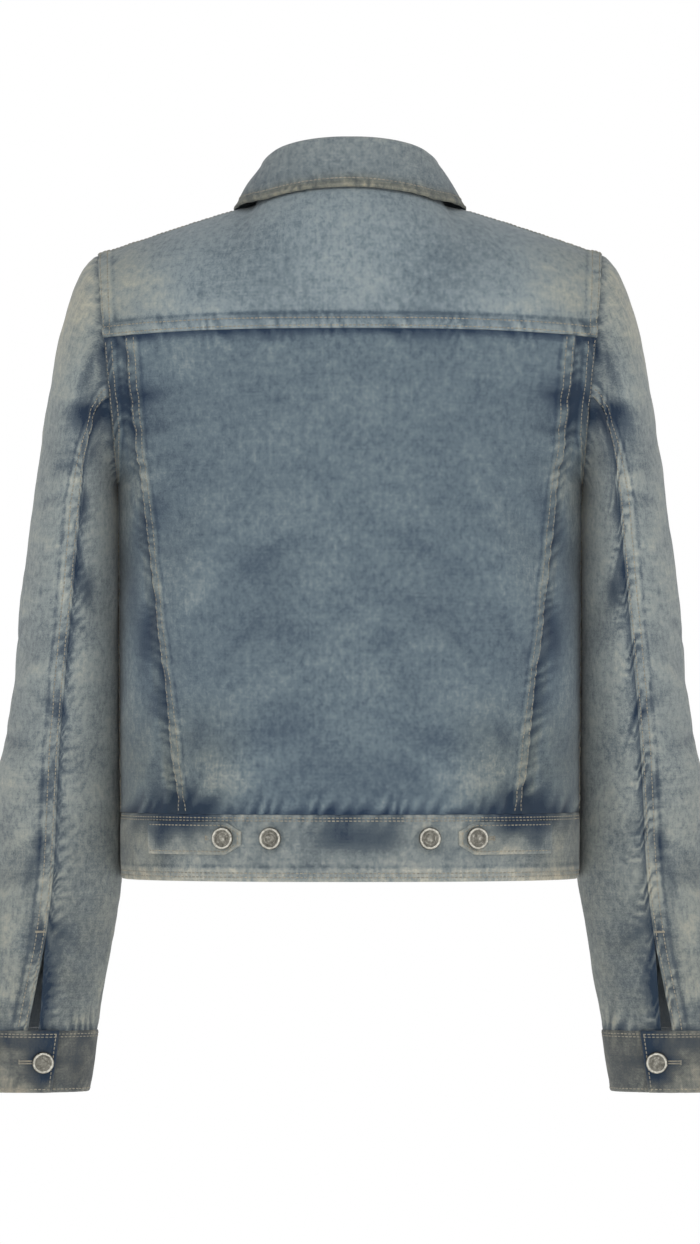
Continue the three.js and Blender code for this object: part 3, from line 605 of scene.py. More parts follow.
def collar_point(place_round, travel):
    """A point of the collar: travel 0 to 1 is up the stand, 1 to 2 over the fold, 2 to 3 down the leaf."""
    place_round, travel = np.broadcast_arrays(np.asarray(place_round, float), np.asarray(travel, float))
    place = np.abs(place_round)

    def neck(p):
        back, front = neckline_point(-1, np.minimum(p * 2, 1)), neckline_point(1, np.minimum((1 - p) * 2, 1))
        return np.where((p <= 0.5)[..., None], back, front)

    before, after = neck(np.maximum(place - SMALL_STEP, 0)), neck(np.minimum(place + SMALL_STEP, 1))
    outward = unit(xyz(after[..., 1] - before[..., 1], before[..., 0] - after[..., 0], 0))

    def at(column):
        return smooth_column(COLLAR, "place", place, column)

    r = COLLAR_FOLD_RADIUS
    fold_out, fold_up = at("fold_out"), at("fold_up")
    turn = math.pi * (2 - np.clip(travel, 1, 2))
    t = np.clip(travel - 2, 0, 1)
    stand = np.clip(travel, 0, 1)
    leaf_out = mix(fold_out + r, at("edge_out"), t) + LEAF_CROWN * np.sin(math.pi * t) * (1 - t)
    out = np.where(travel < 1, mix(COLLAR_BASE_OUT, fold_out - r, stand), fold_out + r * np.cos(turn))
    up = np.where(travel < 1, mix(COLLAR_BASE_UP, fold_up - r, stand), fold_up - r + r * np.sin(turn))
    out = np.where(travel > 2, leaf_out, out)
    up = np.where(travel > 2, mix(fold_up - r, at("edge_up"), t), up)
    made = neck(place) + outward * out[..., None]
    made[..., 2] += up
    clearance = (COLLAR_THICKNESS + LEAF_CLEARANCE) * rising(travel - 2, LEAF_LIFT)
    rows, clearances = made.reshape(-1, made.shape[-2], 3), clearance.reshape(-1, made.shape[-2])
    lifted = np.concatenate([lift_clear(*row) for row in zip(rows, clearances)]).reshape(made.shape)
    made = np.where((travel > 2)[..., None], lifted, made)
    made[..., 0] *= np.where(place_round < 0, -1, 1)
    return made


# Cloth pieces

GRID = 3.0
FINE_GRID = 2.4
YOKE_GRID = 2.6
HIDDEN_GRID = 4
EDGE_STEPS = (0.7, 1.7)
CLOSEST_STEP = 0.5
CURVE_POINTS = 500
EDGE_ROLL = 2.0
SEAM_RAMP = 1.5
UNDER_SEAM_REACH = 4.0
PUCKER_REACH = 13.0
PUCKER_SHADE = 0.38
NO_SEAM = 99.0
WAVE_LENGTHS = (0.7, 1.6)
# Puckers drift along their seam, and swell and flutter: how much, and over what length
DRIFT = (2.1, 31)
STRENGTH, SWELL, FLUTTER = 0.66, (0.3, 47), (0.26, 7.3)
SMOOTH_ANGLE = math.radians(48)


def run_along(path):
    """The distance of each point of a path from its start, along the path."""
    return np.concatenate([[0], np.cumsum(np.linalg.norm(np.diff(path, axis=0), axis=1))])


def even(curve, start, end, pitch=GRID):
    """Places evenly spaced along a curve, with two close ones at each end for a soft edge."""
    t = np.linspace(start, end, CURVE_POINTS)
    run = run_along(curve(t))
    count = max(2, round(run[-1] / pitch))
    near = np.array(EDGE_STEPS)
    inside = np.linspace(0, run[-1], count + 1)[1:-1]
    inside = inside[(inside > near[-1] + CLOSEST_STEP) & (inside < run[-1] - near[-1] - CLOSEST_STEP)]
    places = np.concatenate([[0], near, inside, run[-1] - near[::-1], [run[-1]]])
    return np.interp(places, run, t)


def waves(u, v, size, seed, count=9):
    """A soft random ripple about a size in millimetres, from -1 to 1 or so."""
    rng = np.random.default_rng(seed)
    total = 0.0
    for _ in range(count):
        angle, phase = rng.uniform(0, 2 * math.pi, 2)
        length = size * rng.uniform(*WAVE_LENGTHS)
        total = total + np.sin(2 * math.pi * (u * math.cos(angle) + v * math.sin(angle)) / length + phase)
    return total / math.sqrt(count)


def beads(along, inward, seed, spacing=11.0, slant=0.45):
    """The puckers of a sewn edge: an uneven wave along it, which slants as it leaves the edge."""
    rng = np.random.default_rng(seed)
    phase = rng.uniform(0, 2 * math.pi, 6)
    shift, run = DRIFT
    turn = 2 * math.pi * along
    drift = sum(math.sqrt(k) * shift * np.sin(turn / (run * k) + phase[k]) for k in range(1, 4))
    strength = STRENGTH + SWELL[0] * np.sin(turn / SWELL[1] + phase[4])
    strength = strength + FLUTTER[0] * np.sin(along / FLUTTER[1] + phase[5])
    return np.sin(2 * math.pi * (along + drift + slant * inward) / spacing) * strength


def side_sign(mirror):
    """What a point of the wearer's right is multiplied by for its like on the left."""
    return np.array([-1 if mirror else 1, 1, 1])


class Cloth:
    """A grid of cloth points from a surface, with its normals and the way from each of its edges."""

    def __init__(self, surface, columns, rows, flip=False):
        self.c, self.r = np.meshgrid(columns, rows)
        self.points = surface(self.c, self.r)
        across = np.gradient(self.points, axis=1)
        along = np.gradient(self.points, axis=0)
        self.flip = flip
        self.normals = unit(np.cross(across, along)) * (-1 if flip else 1)
        self.right = self.run(1)
        self.up = self.run(0)
        self.from_edge = {
            "left": self.right,
            "right": self.right[:, -1:] - self.right,
            "bottom": self.up,
            "top": self.up[-1:] - self.up,
        }
        self.along_edge = {"left": self.up, "right": self.up, "bottom": self.right, "top": self.right}
        self.crease = np.zeros(self.c.shape)
        self.relief = np.zeros(self.c.shape)
        self.shade = np.zeros(self.c.shape)
        self.warm = np.zeros(self.c.shape)
        self.seam = np.full(self.c.shape, NO_SEAM)
        self.grain = (self.right - self.right[:, [self.c.shape[1] // 2]], self.up)

    def run(self, axis):
        lengths = np.linalg.norm(np.diff(self.points, axis=axis), axis=-1)
        return np.concatenate([np.zeros_like(np.take(lengths, [0], axis)), np.cumsum(lengths, axis)], axis)

    def round_edges(self, depth, *edges):
        """Rolls the outer face down over the last stretch before an edge."""
        for edge in edges or self.from_edge:
            left = 1 - np.clip(self.from_edge[edge] / EDGE_ROLL, 0, 1)
            self.relief -= depth * (1 - np.sqrt(1 - left**2))

    def seam_over(self, edge, seed, width=10.0, height=1.0, pucker=0.75, spacing=11.0):
        """A lapped seam on top: a raised band along the edge, stitched twice and puckered."""
        d, s = self.from_edge[edge], self.along_edge[edge]
        self.relief += height * (1 - smoothstep(d, width - SEAM_RAMP, width + SEAM_RAMP))
        self.puckers(d, s, seed, pucker, spacing)
        self.seam = np.minimum(self.seam, d)

    def seam_under(self, edge, seed, pucker=0.75, spacing=11.0, shade=-0.32):
        """Cloth under a lapped seam: puckered with it, and darker at its edge with unfaded indigo and painted
        shadow.
        """
        d, s = self.from_edge[edge], self.along_edge[edge]
        self.puckers(-d, s, seed, pucker, spacing)
        self.shade += shade * bell(d, UNDER_SEAM_REACH)

    def puckers(self, d, s, seed, depth, spacing):
        wave = beads(s, d, seed, spacing) * bell(d, PUCKER_REACH)
        self.crease += depth * wave
        self.shade += PUCKER_SHADE * depth * wave

    def finished(self, thickness, out, mirror):
        """Outer and inner points in metres."""
        lift = (self.crease + self.relief + out)[..., None]
        outer = self.points + self.normals * lift
        inner = self.points + self.normals * (self.crease + out - thickness)[..., None]
        return outer * side_sign(mirror) * MM, inner * side_sign(mirror) * MM

    def line(self, edge, distance, out, mirror, clip=0.0):
        """A line on the outer face at a distance from an edge: its points and normals in metres."""
        lift = (self.crease + self.relief + out)[..., None]
        face, normal, run = self.points + self.normals * lift, self.normals, self.from_edge[edge]
        if edge in ("bottom", "top"):
            face, normal, run = np.swapaxes(face, 0, 1), np.swapaxes(normal, 0, 1), run.T
        if edge in ("right", "top"):
            face, normal, run = face[:, ::-1], normal[:, ::-1], run[:, ::-1]
        path, outward = [], []
        for points, normals, places in zip(face, normal, run):
            at = min(max(np.searchsorted(places, distance), 1), len(places) - 1)
            t = (distance - places[at - 1]) / (places[at] - places[at - 1])
            path.append(mix(points[at - 1], points[at], t))
            outward.append(mix(normals[at - 1], normals[at], t))
        path, outward = np.array(path), unit(np.array(outward))
        run = run_along(path)
        keep = (run >= clip) & (run <= run[-1] - clip)
        return path[keep] * side_sign(mirror) * MM, outward[keep] * side_sign(mirror)


def mesh_of(name, cloth, thickness, out, mirror):
    """A closed shell of the cloth, with its UV map in metres and the marks that its finish reads."""
    outer, inner = cloth.finished(thickness, out, mirror)
    high, wide = cloth.c.shape
    count = high * wide
    place = np.arange(count).reshape(high, wide)
    a, b, c, d = place[:-1, :-1], place[:-1, 1:], place[1:, 1:], place[1:, :-1]
    front = np.stack([a, b, c, d], -1).reshape(-1, 4)
    back = np.stack([a, d, c, b], -1).reshape(-1, 4) + count
    low, top, left, right = place[0], place[-1], place[:, 0], place[:, -1]
    rims = [
        np.stack([low[:-1], low[:-1] + count, low[1:] + count, low[1:]], -1),
        np.stack([top[:-1], top[1:], top[1:] + count, top[:-1] + count], -1),
        np.stack([left[:-1], left[1:], left[1:] + count, left[:-1] + count], -1),
        np.stack([right[:-1], right[:-1] + count, right[1:] + count, right[1:]], -1),
    ]
    quads = np.concatenate([front, back, *rims])
    if cloth.flip != mirror:
        quads = quads[:, ::-1]
    mesh = bpy.data.meshes.new(name)
    corners = np.concatenate([outer.reshape(-1, 3), inner.reshape(-1, 3)])
    mesh.from_pydata(corners.tolist(), [], quads.tolist())
    uv = np.stack(cloth.grain, -1).reshape(-1, 2) * MM
    layer = mesh.uv_layers.new(name="cloth")
    layer.data.foreach_set("uv", np.concatenate([uv, uv])[quads.reshape(-1)].astype(np.float32).reshape(-1))
    marks = {"shade": cloth.shade, "warm": cloth.warm, "seam": cloth.seam}
    marks["relief"] = cloth.crease + cloth.relief
    for key in ("shade", "warm", "relief", "seam"):
        flat = marks[key].reshape(-1).astype(np.float32)
        mesh.attributes.new(key, "FLOAT", "POINT").data.foreach_set("value", np.concatenate([flat, flat]))
    sides = np.zeros(len(quads), np.int32)
    sides[len(front) : len(front) + len(back)] = 1
    mesh.polygons.foreach_set("material_index", sides)
    return mesh


def deselect():
    bpy.ops.object.select_all(action="DESELECT")


def put(name, mesh, materials):
    """A piece in the scene, selected, with its finishes and its one body."""
    piece = bpy.data.objects.new(name, mesh)
    bpy.context.scene.collection.objects.link(piece)
    for material in materials:
        mesh.materials.append(material)
    deselect()
    piece.select_set(True)
    bpy.context.view_layer.objects.active = piece
    bpy.ops.object.shade_smooth_by_angle(angle=SMOOTH_ANGLE)
    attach(piece, "root")
    return piece


def cloth_piece(node, cloth, finish, thickness=CLOTH, out=0.0, mirror=False):
    piece = put(f"cloth_{node}", mesh_of(node, cloth, thickness, out, mirror), [finish, MATERIALS["reverse"]])
    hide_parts(node)


def trim_piece(node, cloth, thickness, out=0.0, mirror=False):
    cloth_piece(node, cloth, MATERIALS["trim"], thickness, out, mirror)


class Thread:
    """Rows of stitches, gathered line by line and made as one mesh."""

    LENGTH, PITCH, WIDTH, HEIGHT = 2.6 * MM, 3.3 * MM, 0.42 * MM, 0.3 * MM
    SATIN_PITCH, LOOK = 0.75 * MM, 0.4 * MM
    RINGS = ((0.0, 0.35, -0.5), (0.2, 1.0, 0.35), (0.8, 1.0, 0.35), (1.0, 0.35, -0.5))

    def __init__(self):
        self.vertices, self.faces = [], []

    def stitches(self, begin, stop, normal):
        """One stitch for each row of begin and stop, a spindle of four sides with its ends in the cloth."""
        sideways = unit(np.cross(unit(stop - begin), normal))
        for k in range(len(begin)):
            base = len(self.vertices)
            for t, swell, rise in self.RINGS:
                middle = mix(begin[k], stop[k], t) + normal[k] * self.HEIGHT * rise
                wide, tall = sideways[k] * self.WIDTH * swell, normal[k] * self.HEIGHT * swell
                self.vertices += [middle + wide, middle + tall, middle - wide, middle - tall]
            for ring in range(len(self.RINGS) - 1):
                for corner in range(4):
                    i, j = base + ring * 4 + corner, base + ring * 4 + (corner + 1) % 4
                    self.faces.append((i, j, j + 4, i + 4))
            end = base + 4 * (len(self.RINGS) - 1)
            self.faces += [(base + 3, base + 2, base + 1, base), (end, end + 1, end + 2, end + 3)]

    @staticmethod
    def along(path):
        """The distance along a path, and a reader of values given at its points."""
        run = run_along(path)

        def read(values, place):
            return np.stack([np.interp(place, run, values[:, k]) for k in range(3)], -1)

        return run, read

    def sew(self, path, outward):
        run, at = self.along(path)
        starts = np.arange(self.PITCH / 2, run[-1] - self.LENGTH, self.PITCH)
        normal = unit(at(outward, starts + self.LENGTH / 2))
        self.stitches(at(path, starts), at(path, starts + self.LENGTH), normal)

    def satin(self, path, outward, width, offset=0.0):
        """Stitches side by side across a line: a bar tack, or beside the line one lip of a buttonhole."""
        run, at = self.along(path)
        places = np.arange(0, run[-1], self.SATIN_PITCH)
        normal = unit(at(outward, places))
        forward = unit(at(path, places + self.LOOK) - at(path, places - self.LOOK))
        across = unit(np.cross(normal, forward))
        middle = at(path, places) + across * offset
        self.stitches(middle - across * width / 2, middle + across * width / 2, normal)

    def make(self, name):
        mesh = bpy.data.meshes.new(name)
        mesh.from_pydata([tuple(v) for v in self.vertices], [], self.faces)
        piece = put(name, mesh, [MATERIALS["thread"]])
        bpy.ops.object.mode_set(mode="EDIT")
        bpy.ops.mesh.select_all(action="SELECT")
        bpy.ops.mesh.normals_make_consistent(inside=False)
        bpy.ops.object.mode_set(mode="OBJECT")


# Materials

def srgb(*levels):
    """A colour from the usual 0 to 255 levels."""
    return tuple(((c / 255 + 0.055) / 1.055) ** 2.4 if c > 10 else c / 3294.6 for c in levels) + (1.0,)


class Shader:
    """A material's node tree, filled node by node."""

    def __init__(self, name):
        self.material = bpy.data.materials.new(name)
        self.material.use_nodes = True
        self.tree = self.material.node_tree
        self.surface = self.tree.nodes["Principled BSDF"]

    def node(self, kind, inputs=None, **settings):
        made = self.tree.nodes.new(kind)
        for key, value in settings.items():
            setattr(made, key, value)
        for key, value in (inputs or {}).items():
            self.feed(made.inputs[key], value)
        return made

    def feed(self, socket, value):
        if isinstance(value, bpy.types.NodeSocket):
            self.tree.links.new(value, socket)
        else:
            socket.default_value = value

    def math(self, operation, *values):
        made = self.node("ShaderNodeMath", operation=operation)
        for socket, value in zip(made.inputs, values):
            self.feed(socket, value)
        return made.outputs[0]

    def weighted(self, start, *pairs):
        """A sum of values, each with its weight and the level that counts as nothing."""
        total = start
        for value, weight, middle in pairs:
            total = self.math("MULTIPLY_ADD", self.math("SUBTRACT", value, middle), weight, total)
        return total

    def object_place(self):
        return self.node("ShaderNodeTexCoord").outputs["Object"]

    def cloth_place(self):
        return self.node("ShaderNodeUVMap", uv_map="cloth").outputs["UV"]

    def attribute(self, name):
        return self.node("ShaderNodeAttribute", attribute_name=name).outputs["Fac"]

    def noise(self, vector, scale, detail=3.0, roughness=0.55):
        inputs = {"Vector": vector, "Scale": scale, "Detail": detail, "Roughness": roughness}
        return self.node("ShaderNodeTexNoise", inputs).outputs["Fac"]

    def stretched(self, vector, scale, turn=0.0):
        inputs = {"Vector": vector, "Scale": scale, "Rotation": (0, 0, turn)}
        return self.node("ShaderNodeMapping", inputs).outputs["Vector"]

    def bump(self, height, strength, distance):
        made = self.node("ShaderNodeBump", {"Height": height, "Strength": strength, "Distance": distance})
        self.feed(self.surface.inputs["Normal"], made.outputs["Normal"])

    def surface_values(self, values):
        for key, value in values.items():
            self.feed(self.surface.inputs[key], value)

    def ramp(self, value, *stops):
        made = self.node("ShaderNodeValToRGB", {"Fac": value})
        elements = made.color_ramp.elements
        for _ in range(len(stops) - 2):
            elements.new(0.5)
        for element, (place, colour) in zip(elements, stops):
            element.position = place
            element.color = colour
        return made.outputs["Color"]


INDIGO = srgb(23, 42, 63)
WARM_TINT = (1.0, 0.86, 0.68, 1.0)
TWILL_LEAN = 0.72
TWILL = {"Scale": 280.0, "Distortion": 2.6, "Detail": 2.0, "Detail Scale": 2.2}
# Cloth patterns: how many repeats go across and along a metre of cloth, detail and roughness
WEAVE = {
    "fleck": ((210, 150, 1), 3.0, 0.7),
    "streak": ((560, 20, 1), 3.0, 0.62),
    "weft": ((24, 640, 1), 2.0, 0.6),
}
GRAIN = (780.0, 2.0, 0.7)
MOTTLE = (46.0, 4.0, 0.62)
CLOUD = (9.0, 2.0, 0.5)
# Where a lapped seam's ridge and the groove beside it lie from its edge, and how narrow they are
RIDGE = (9.3, -0.5)
GROOVE = (12.2, -0.35)
EDGE_NARROWNESS = -0.75
WORN_BY_MOTTLE = (1.8, -0.5)
WARM_BY_MOTTLE = (1.2, 0.4)
# Each mark's weight in the tone, and the level at which it changes nothing
SHADE_START, SHADE_BREAKS = 0.62, {"fleck": (1.0, 0.5), "mottle": (0.9, 0.5), "streak": (0.5, 0.5)}
TONE_START, TONE_MARKS = 0.5, {
    "broken": (1.0, 0.0),
    "relief": (0.045, 0.4),
    "mottle": (0.22, 0.5),
    "cloud": (0.08, 0.5),
    "streak": (0.11, 0.5),
    "fleck": (0.56, 0.5),
    "weft": (0.12, 0.5),
    "grain": (0.36, 0.5),
    "twill": (0.06, 0.5),
    "wear": (0.16, 0.0),
    # The groove beside a seam's band is darker: unfaded indigo and painted shade
    "groove": (-0.12, 0.0),
}
HEIGHT_MARKS = {"twill": (0.3, 0.0), "grain": (0.5, 0.0), "streak": (0.2, 0.0), "fleck": (0.6, 0.0)}
TONE_STOPS = (0.0, 0.3, 0.52, 0.9)


def denim(name, *colours):
    """Washed indigo twill, from deep to pale, with its ribs, streaks, white weft and faded creases."""
    s = Shader(name)
    cloth, place = s.cloth_place(), s.object_place()
    marks = {"mottle": s.noise(place, *MOTTLE), "cloud": s.noise(place, *CLOUD)}
    marks["grain"] = s.noise(cloth, *GRAIN)
    for pattern, (repeats, detail, roughness) in WEAVE.items():
        marks[pattern] = s.noise(s.stretched(cloth, repeats), 1.0, detail, roughness)
    ribs = {"Vector": s.stretched(cloth, (1, 1, 1), TWILL_LEAN), **TWILL}
    marks["twill"] = s.node("ShaderNodeTexWave", ribs).outputs["Fac"]
    marks["relief"], seam = s.attribute("relief"), s.attribute("seam")

    def line(middle, narrowness):
        apart = s.math("SUBTRACT", seam, middle)
        return s.math("EXPONENT", s.math("MULTIPLY", s.math("MULTIPLY", apart, apart), narrowness))

    edge = s.math("EXPONENT", s.math("MULTIPLY", seam, EDGE_NARROWNESS))
    worn = s.math("MULTIPLY_ADD", marks["mottle"], *WORN_BY_MOTTLE)
    marks["wear"] = s.math("MULTIPLY", s.math("ADD", edge, line(*RIDGE)), worn)
    # The groove beside a seam's band, darkened with unfaded indigo and painted shade
    marks["groove"] = line(*GROOVE)

    def blend(start, weights):
        return s.weighted(start, *((marks[key], *weight) for key, weight in weights.items()))

    marks["broken"] = s.math("MULTIPLY", s.attribute("shade"), blend(SHADE_START, SHADE_BREAKS))
    faded = s.ramp(blend(TONE_START, TONE_MARKS), *zip(TONE_STOPS, colours))
    warmth = s.math("MULTIPLY", s.attribute("warm"), s.math("MULTIPLY_ADD", marks["mottle"], *WARM_BY_MOTTLE))
    tinted = s.node("ShaderNodeMix", data_type="RGBA", blend_type="MULTIPLY", clamp_factor=True)
    s.feed(tinted.inputs[0], warmth)
    s.feed(tinted.inputs[6], faded)
    s.feed(tinted.inputs[7], WARM_TINT)
    s.feed(s.surface.inputs["Base Color"], tinted.outputs[2])
    s.bump(blend(0.0, HEIGHT_MARKS), strength=0.5, distance=0.5 * MM)
    s.surface_values({
        "Roughness": s.weighted(0.86, (marks["grain"], 0.12, 0.5)),
        "Specular IOR Level": 0.22,
        "Sheen Weight": 0.12,
        "Sheen Roughness": 0.6,
    })
    return s.material


def reverse_side():
    """The inside of the twill, where the white weft shows."""
    s = Shader("denim_reverse")
    cloth = s.cloth_place()
    ribs = {"Vector": s.stretched(cloth, (1, 1, 1), -TWILL_LEAN), "Scale": 270.0}
    twill = s.node("ShaderNodeTexWave", ribs).outputs["Fac"]
    grain = s.noise(cloth, scale=700.0, detail=2.0, roughness=0.7)
    mottle = s.noise(s.object_place(), scale=30.0, detail=4.0, roughness=0.6)
    tone = s.weighted(0.5, (twill, 0.3, 0.5), (grain, 0.7, 0.5), (mottle, 0.5, 0.5))
    s.bump(s.math("ADD", twill, grain), strength=0.5, distance=0.4 * MM)
    s.surface_values({
        "Base Color": s.ramp(tone, (0.1, srgb(84, 96, 108)), (0.9, srgb(166, 172, 174))),
        "Roughness": 0.92,
        "Specular IOR Level": 0.2,
    })
    return s.material


def thread_finish():
    """Faded topstitching thread, grey-tan and slightly uneven from stitch to stitch."""
    s = Shader("topstitch_thread")
    place = s.object_place()
    faded, fibre = s.noise(place, scale=160.0, detail=3.0), s.noise(place, scale=2400.0, detail=1.0)
    tone = s.weighted(0.5, (faded, 1.2, 0.5), (fibre, 0.5, 0.5))
    stops = (0.1, srgb(88, 88, 84)), (0.5, srgb(130, 126, 114)), (0.9, srgb(164, 154, 132))
    ply = s.noise(s.stretched(place, (1, 1, 1), turn=0.6), scale=3200.0, detail=1.0)
    s.bump(ply, strength=0.6, distance=0.2 * MM)
    s.surface_values({"Base Color": s.ramp(tone, *stops), "Roughness": 0.7})
    return s.material


def aged_metal_painted_light():
    """Nickel of the tack buttons, dull with handling; darker in its dish with painted shade and paler on its
    raised rims with painted highlight.
    """
    s = Shader("aged_nickel_painted_light")
    place = s.object_place()
    stain = s.noise(place, scale=420.0, detail=4.0, roughness=0.65)
    fine = s.noise(place, scale=2600.0, detail=2.0)
    # Painted shade in the dish and painted highlight on the raised rims, by the height of each point
    tone = s.weighted(0.5, (s.attribute("height"), 0.9, 0.55), (stain, 0.9, 0.5), (fine, 0.3, 0.5))
    stops = (0.15, srgb(52, 50, 46)), (0.5, srgb(118, 116, 108)), (0.85, srgb(204, 201, 190))
    s.bump(fine, strength=0.25, distance=0.1 * MM)
    roughness = s.weighted(0.38, (stain, 0.4, 0.5))
    s.surface_values({"Base Color": s.ramp(tone, *stops), "Metallic": 0.9, "Roughness": roughness})
    return s.material


MATERIALS = {
    "body": denim("denim_body", INDIGO, srgb(62, 76, 89), srgb(92, 106, 114), srgb(141, 149, 147)),
    "yoke": denim("denim_yoke", INDIGO, srgb(76, 90, 100), srgb(119, 131, 136), srgb(156, 161, 154)),
    "sleeve": denim("denim_sleeve", INDIGO, srgb(77, 88, 97), srgb(125, 134, 135), srgb(165, 167, 157)),
    "trim": denim("denim_trim", INDIGO, srgb(74, 85, 93), srgb(117, 126, 128), srgb(168, 168, 158)),
    "cuff": denim("denim_cuff", INDIGO, srgb(68, 74, 78), srgb(108, 112, 109), srgb(154, 150, 138)),
    "reverse": reverse_side(),
    "thread": thread_finish(),
    "metal": aged_metal_painted_light(),
}


# Camera, level with the middle of the picture, behind the wearer
CAMERA_DISTANCE = 7.0
PICTURE_HEIGHT = 0.958
PICTURE_MIDDLE_Z = -0.321
SENSOR = 36.0

camera_data = bpy.data.cameras.new("camera")
camera_data.sensor_width = SENSOR
camera_data.lens = SENSOR * CAMERA_DISTANCE / PICTURE_HEIGHT
camera = bpy.data.objects.new("camera", camera_data)
camera.location = (0, -CAMERA_DISTANCE, PICTURE_MIDDLE_Z)
camera.rotation_euler = (math.radians(90), 0, 0)
bpy.context.scene.collection.objects.link(camera)
bpy.context.scene.camera = camera


# Building the pieces

SIDES = (("right", False), ("left", True))
LOWER_HEIGHT = UNDERARM_Z - WAIST_SEAM_Z
BODY_ROW_GAP = HALF_GAP / LOWER_HEIGHT
YOKE_ROW_HEIGHT = 20
YOKE_HALF_WIDTH = 190
YOKE_ROW_GAP = HALF_GAP / YOKE_ROW_HEIGHT
HEM_ROW = (HEM_Z - UNDERARM_Z) / LOWER_HEIGHT
ARMHOLE_START_ROW = 0.5
LIMIT_ROWS = (90, 150)
threads = {"back": Thread(), "front": Thread(), "sleeves": Thread(), "trim": Thread()}

# Rows of stitches, by their distance from each edge
STITCH_ROWS = (2.0, 8.0)
SLEEVE_ROWS = (2.0, 7.4)
BAND_ROWS = {"top": (2.4, 4.6), "bottom": (3.4, 6.6), "left": (3.0,)}
CUFF_ROWS = {"bottom": (2.4, 4.6), "top": (3.0,), "left": (3.0,)}
PLACKET_ROWS = {"left": (2.4,), "right": (2.0, 7.0)}
TAB_ROW = 2.6
COLLAR_ROW = 6.0
COLLAR_STAND_TRAVEL = 1.4
VENT_TACK = (0.8, 4.6, 8.4)
TACK_WIDTH = 1.9 * MM
SHOULDER_STITCH_X = 88
SHOULDER_SEAM = (8.5, 11.5)
SHOULDER_SEAM_HEIGHT = 0.9
SHOULDER_SEAM_START = 12
ARMHOLE_SEAM_ROWS = (0.1, 0.6)
BAND_FILL_WIDTH = 48
FULLNESS = {"band": 0.5, "cuff": 0.4}

# Along which row and across which column the grid of each piece is evenly spaced
GUIDES = {
    "body": (-0.5, 0.5),
    "yoke": (9.5, 0.7),
    "band": ((HEM_ROW + WAIST_ROW) / 2, 0.4),
    "tab": (0, 0.3),
    "collar": (2.7, 0.0),
    "sleeve_top": (1.1, 0.45),
    "sleeve_under": (1.1, 0.5),
    "cuff": (660.0, 12.0),
}

# Unevenness of cloth and of its tone, as waves that each have a depth and a size
RIPPLES = {
    "body": ((0.32, 52), (0.14, 19)),
    "yoke": ((0.3, 60), (0.12, 20)),
    "sleeve": ((0.34, 50), (0.15, 18)),
    "band_tone": ((0.1, 34),),
    "tab": ((0.18, 14),),
    "tab_tone": ((0.08, 16),),
    "collar": ((0.3, 44),),
    "cuff": ((0.25, 36),),
    "cuff_tone": ((0.09, 22),),
}

# Creases die away towards a piece's edges: how steeply, or over how many millimetres
CALM = {"side": 12, "waist": 20, "armhole": 2, "yoke": 1.2}
SLEEVE_CALM = {"bottom": 5, "top": 10}
# The share of its creases that the doubled placket keeps
PLACKET_CALM = 0.5
# Where the creases of one side only set in, from the middle line outwards
ONE_SIDE_CREASES = (0, 20)
# Shade that a millimetre of crease or of a large fold brings
CREASE_SHADE = 0.06
FOLD_SHADE = {"body": 0.016, "sleeve": 0.024}

# Lines that have paled, stayed dark or turned warm: strength, reach and the way from the edge to the line.
# The dark line above the yoke seam is unfaded indigo and painted shade, and the one by the cuff's button
# painted shadow
WORN = {
    "hem": (0.26, 3.2, 0),
    "band_top": (0.12, 2.4, 0),
    "tab": (0.2, 2.6, 0),
    "collar_rim": (0.2, 2.0, 0),
    "collar_fold": (0.22, 0.42, 1.5),
    "cuff_hem": (0.22, 3.0, 0),
    "cuff_top": (0.1, 2.4, 0),
}
DARK = {
    "above_yoke_seam": (0.3, 3.2, 9),
    "collar_fall": (0.13, 16.0, 0),
    "cuff_middle": (0.34, 3.5, 24),
    "cuff_outside": (0.46, 8, 9),
    "cuff_lap_shadow": (0.6, 14, 6),
}
WARM = {"shoulder_line": (0.2, 12, 0), "collar_rim": (1.3, 7.0, 0)}
# Warmth and tone all over a piece or its seams
WARMTH = {"seam": 0.25, "band": 0.2, "tab": 0.4, "sleeve": 0.1, "cuff": 0.4}
TAB_TONE = 0.06
TAB_FADING = 1.1
# Painted shade over the whole collar, against the light that falls on its top
COLLAR_PAINTED_SHADE = 0.06
CUFF_DARKNESS = 0.26
# What sets in over a stretch: how much, and where it begins and where it is full
ONSETS = {
    "warm_flank": (0.45, 60, 120),
    "warm_yoke_end": (0.45, 120, 190),
    "warm_band_end": (0.45, 110, 165),
    "dark_band_end": (0.1, 142, 168),
    "warm_forearm": (0.38, 330, 620),
    "warm_sleeve_head": (0.25, -150, -70),
    "pale_front_top": (0.12, -150, -70),
    "tab_rise": (0.6, 0, 5),
    "leaf_rise": (0.35, 3, 8),
}
WARM_SEAM_WIDTH = 10
WARM_FLANK_DROP = (360, 430)
LEAF_TRAVEL = (1.6, 2.2)
SHOULDER_PUCKERS = {"depth": 0.35, "spacing": 12, "reach": 12}
COLLAR_PUCKERS = {"depth": 0.35, "shade": 0.16, "spacing": 10, "reach": 9.0}
HEM_RIDGE_SHIFT = 0.6
# Depth of the rolled outer edges
ROLLS = {
    "back_seam": 1.0, "side_seam": 0.9, "yoke_seam": 1.0, "armhole": 0.8, "front_side": 0.7, "placket": 0.7,
    "band": 1.0, "tab": 0.7, "collar": 0.9, "sleeve_seam": 0.9, "cuff": 1.0,
}
# The cuff's far end keeps clear of its lap. Its tone changes in streaks and further out, and by the button a
# painted shadow darkens it
CUFF_END_CLEARANCE = 0.1
CUFF_STREAK = 13
CUFF_OUTER_X = (238, 256)
CUFF_BACK_Y = (-40, -20)
CUFF_LAP_SHADOW_RISE = (4, 14)

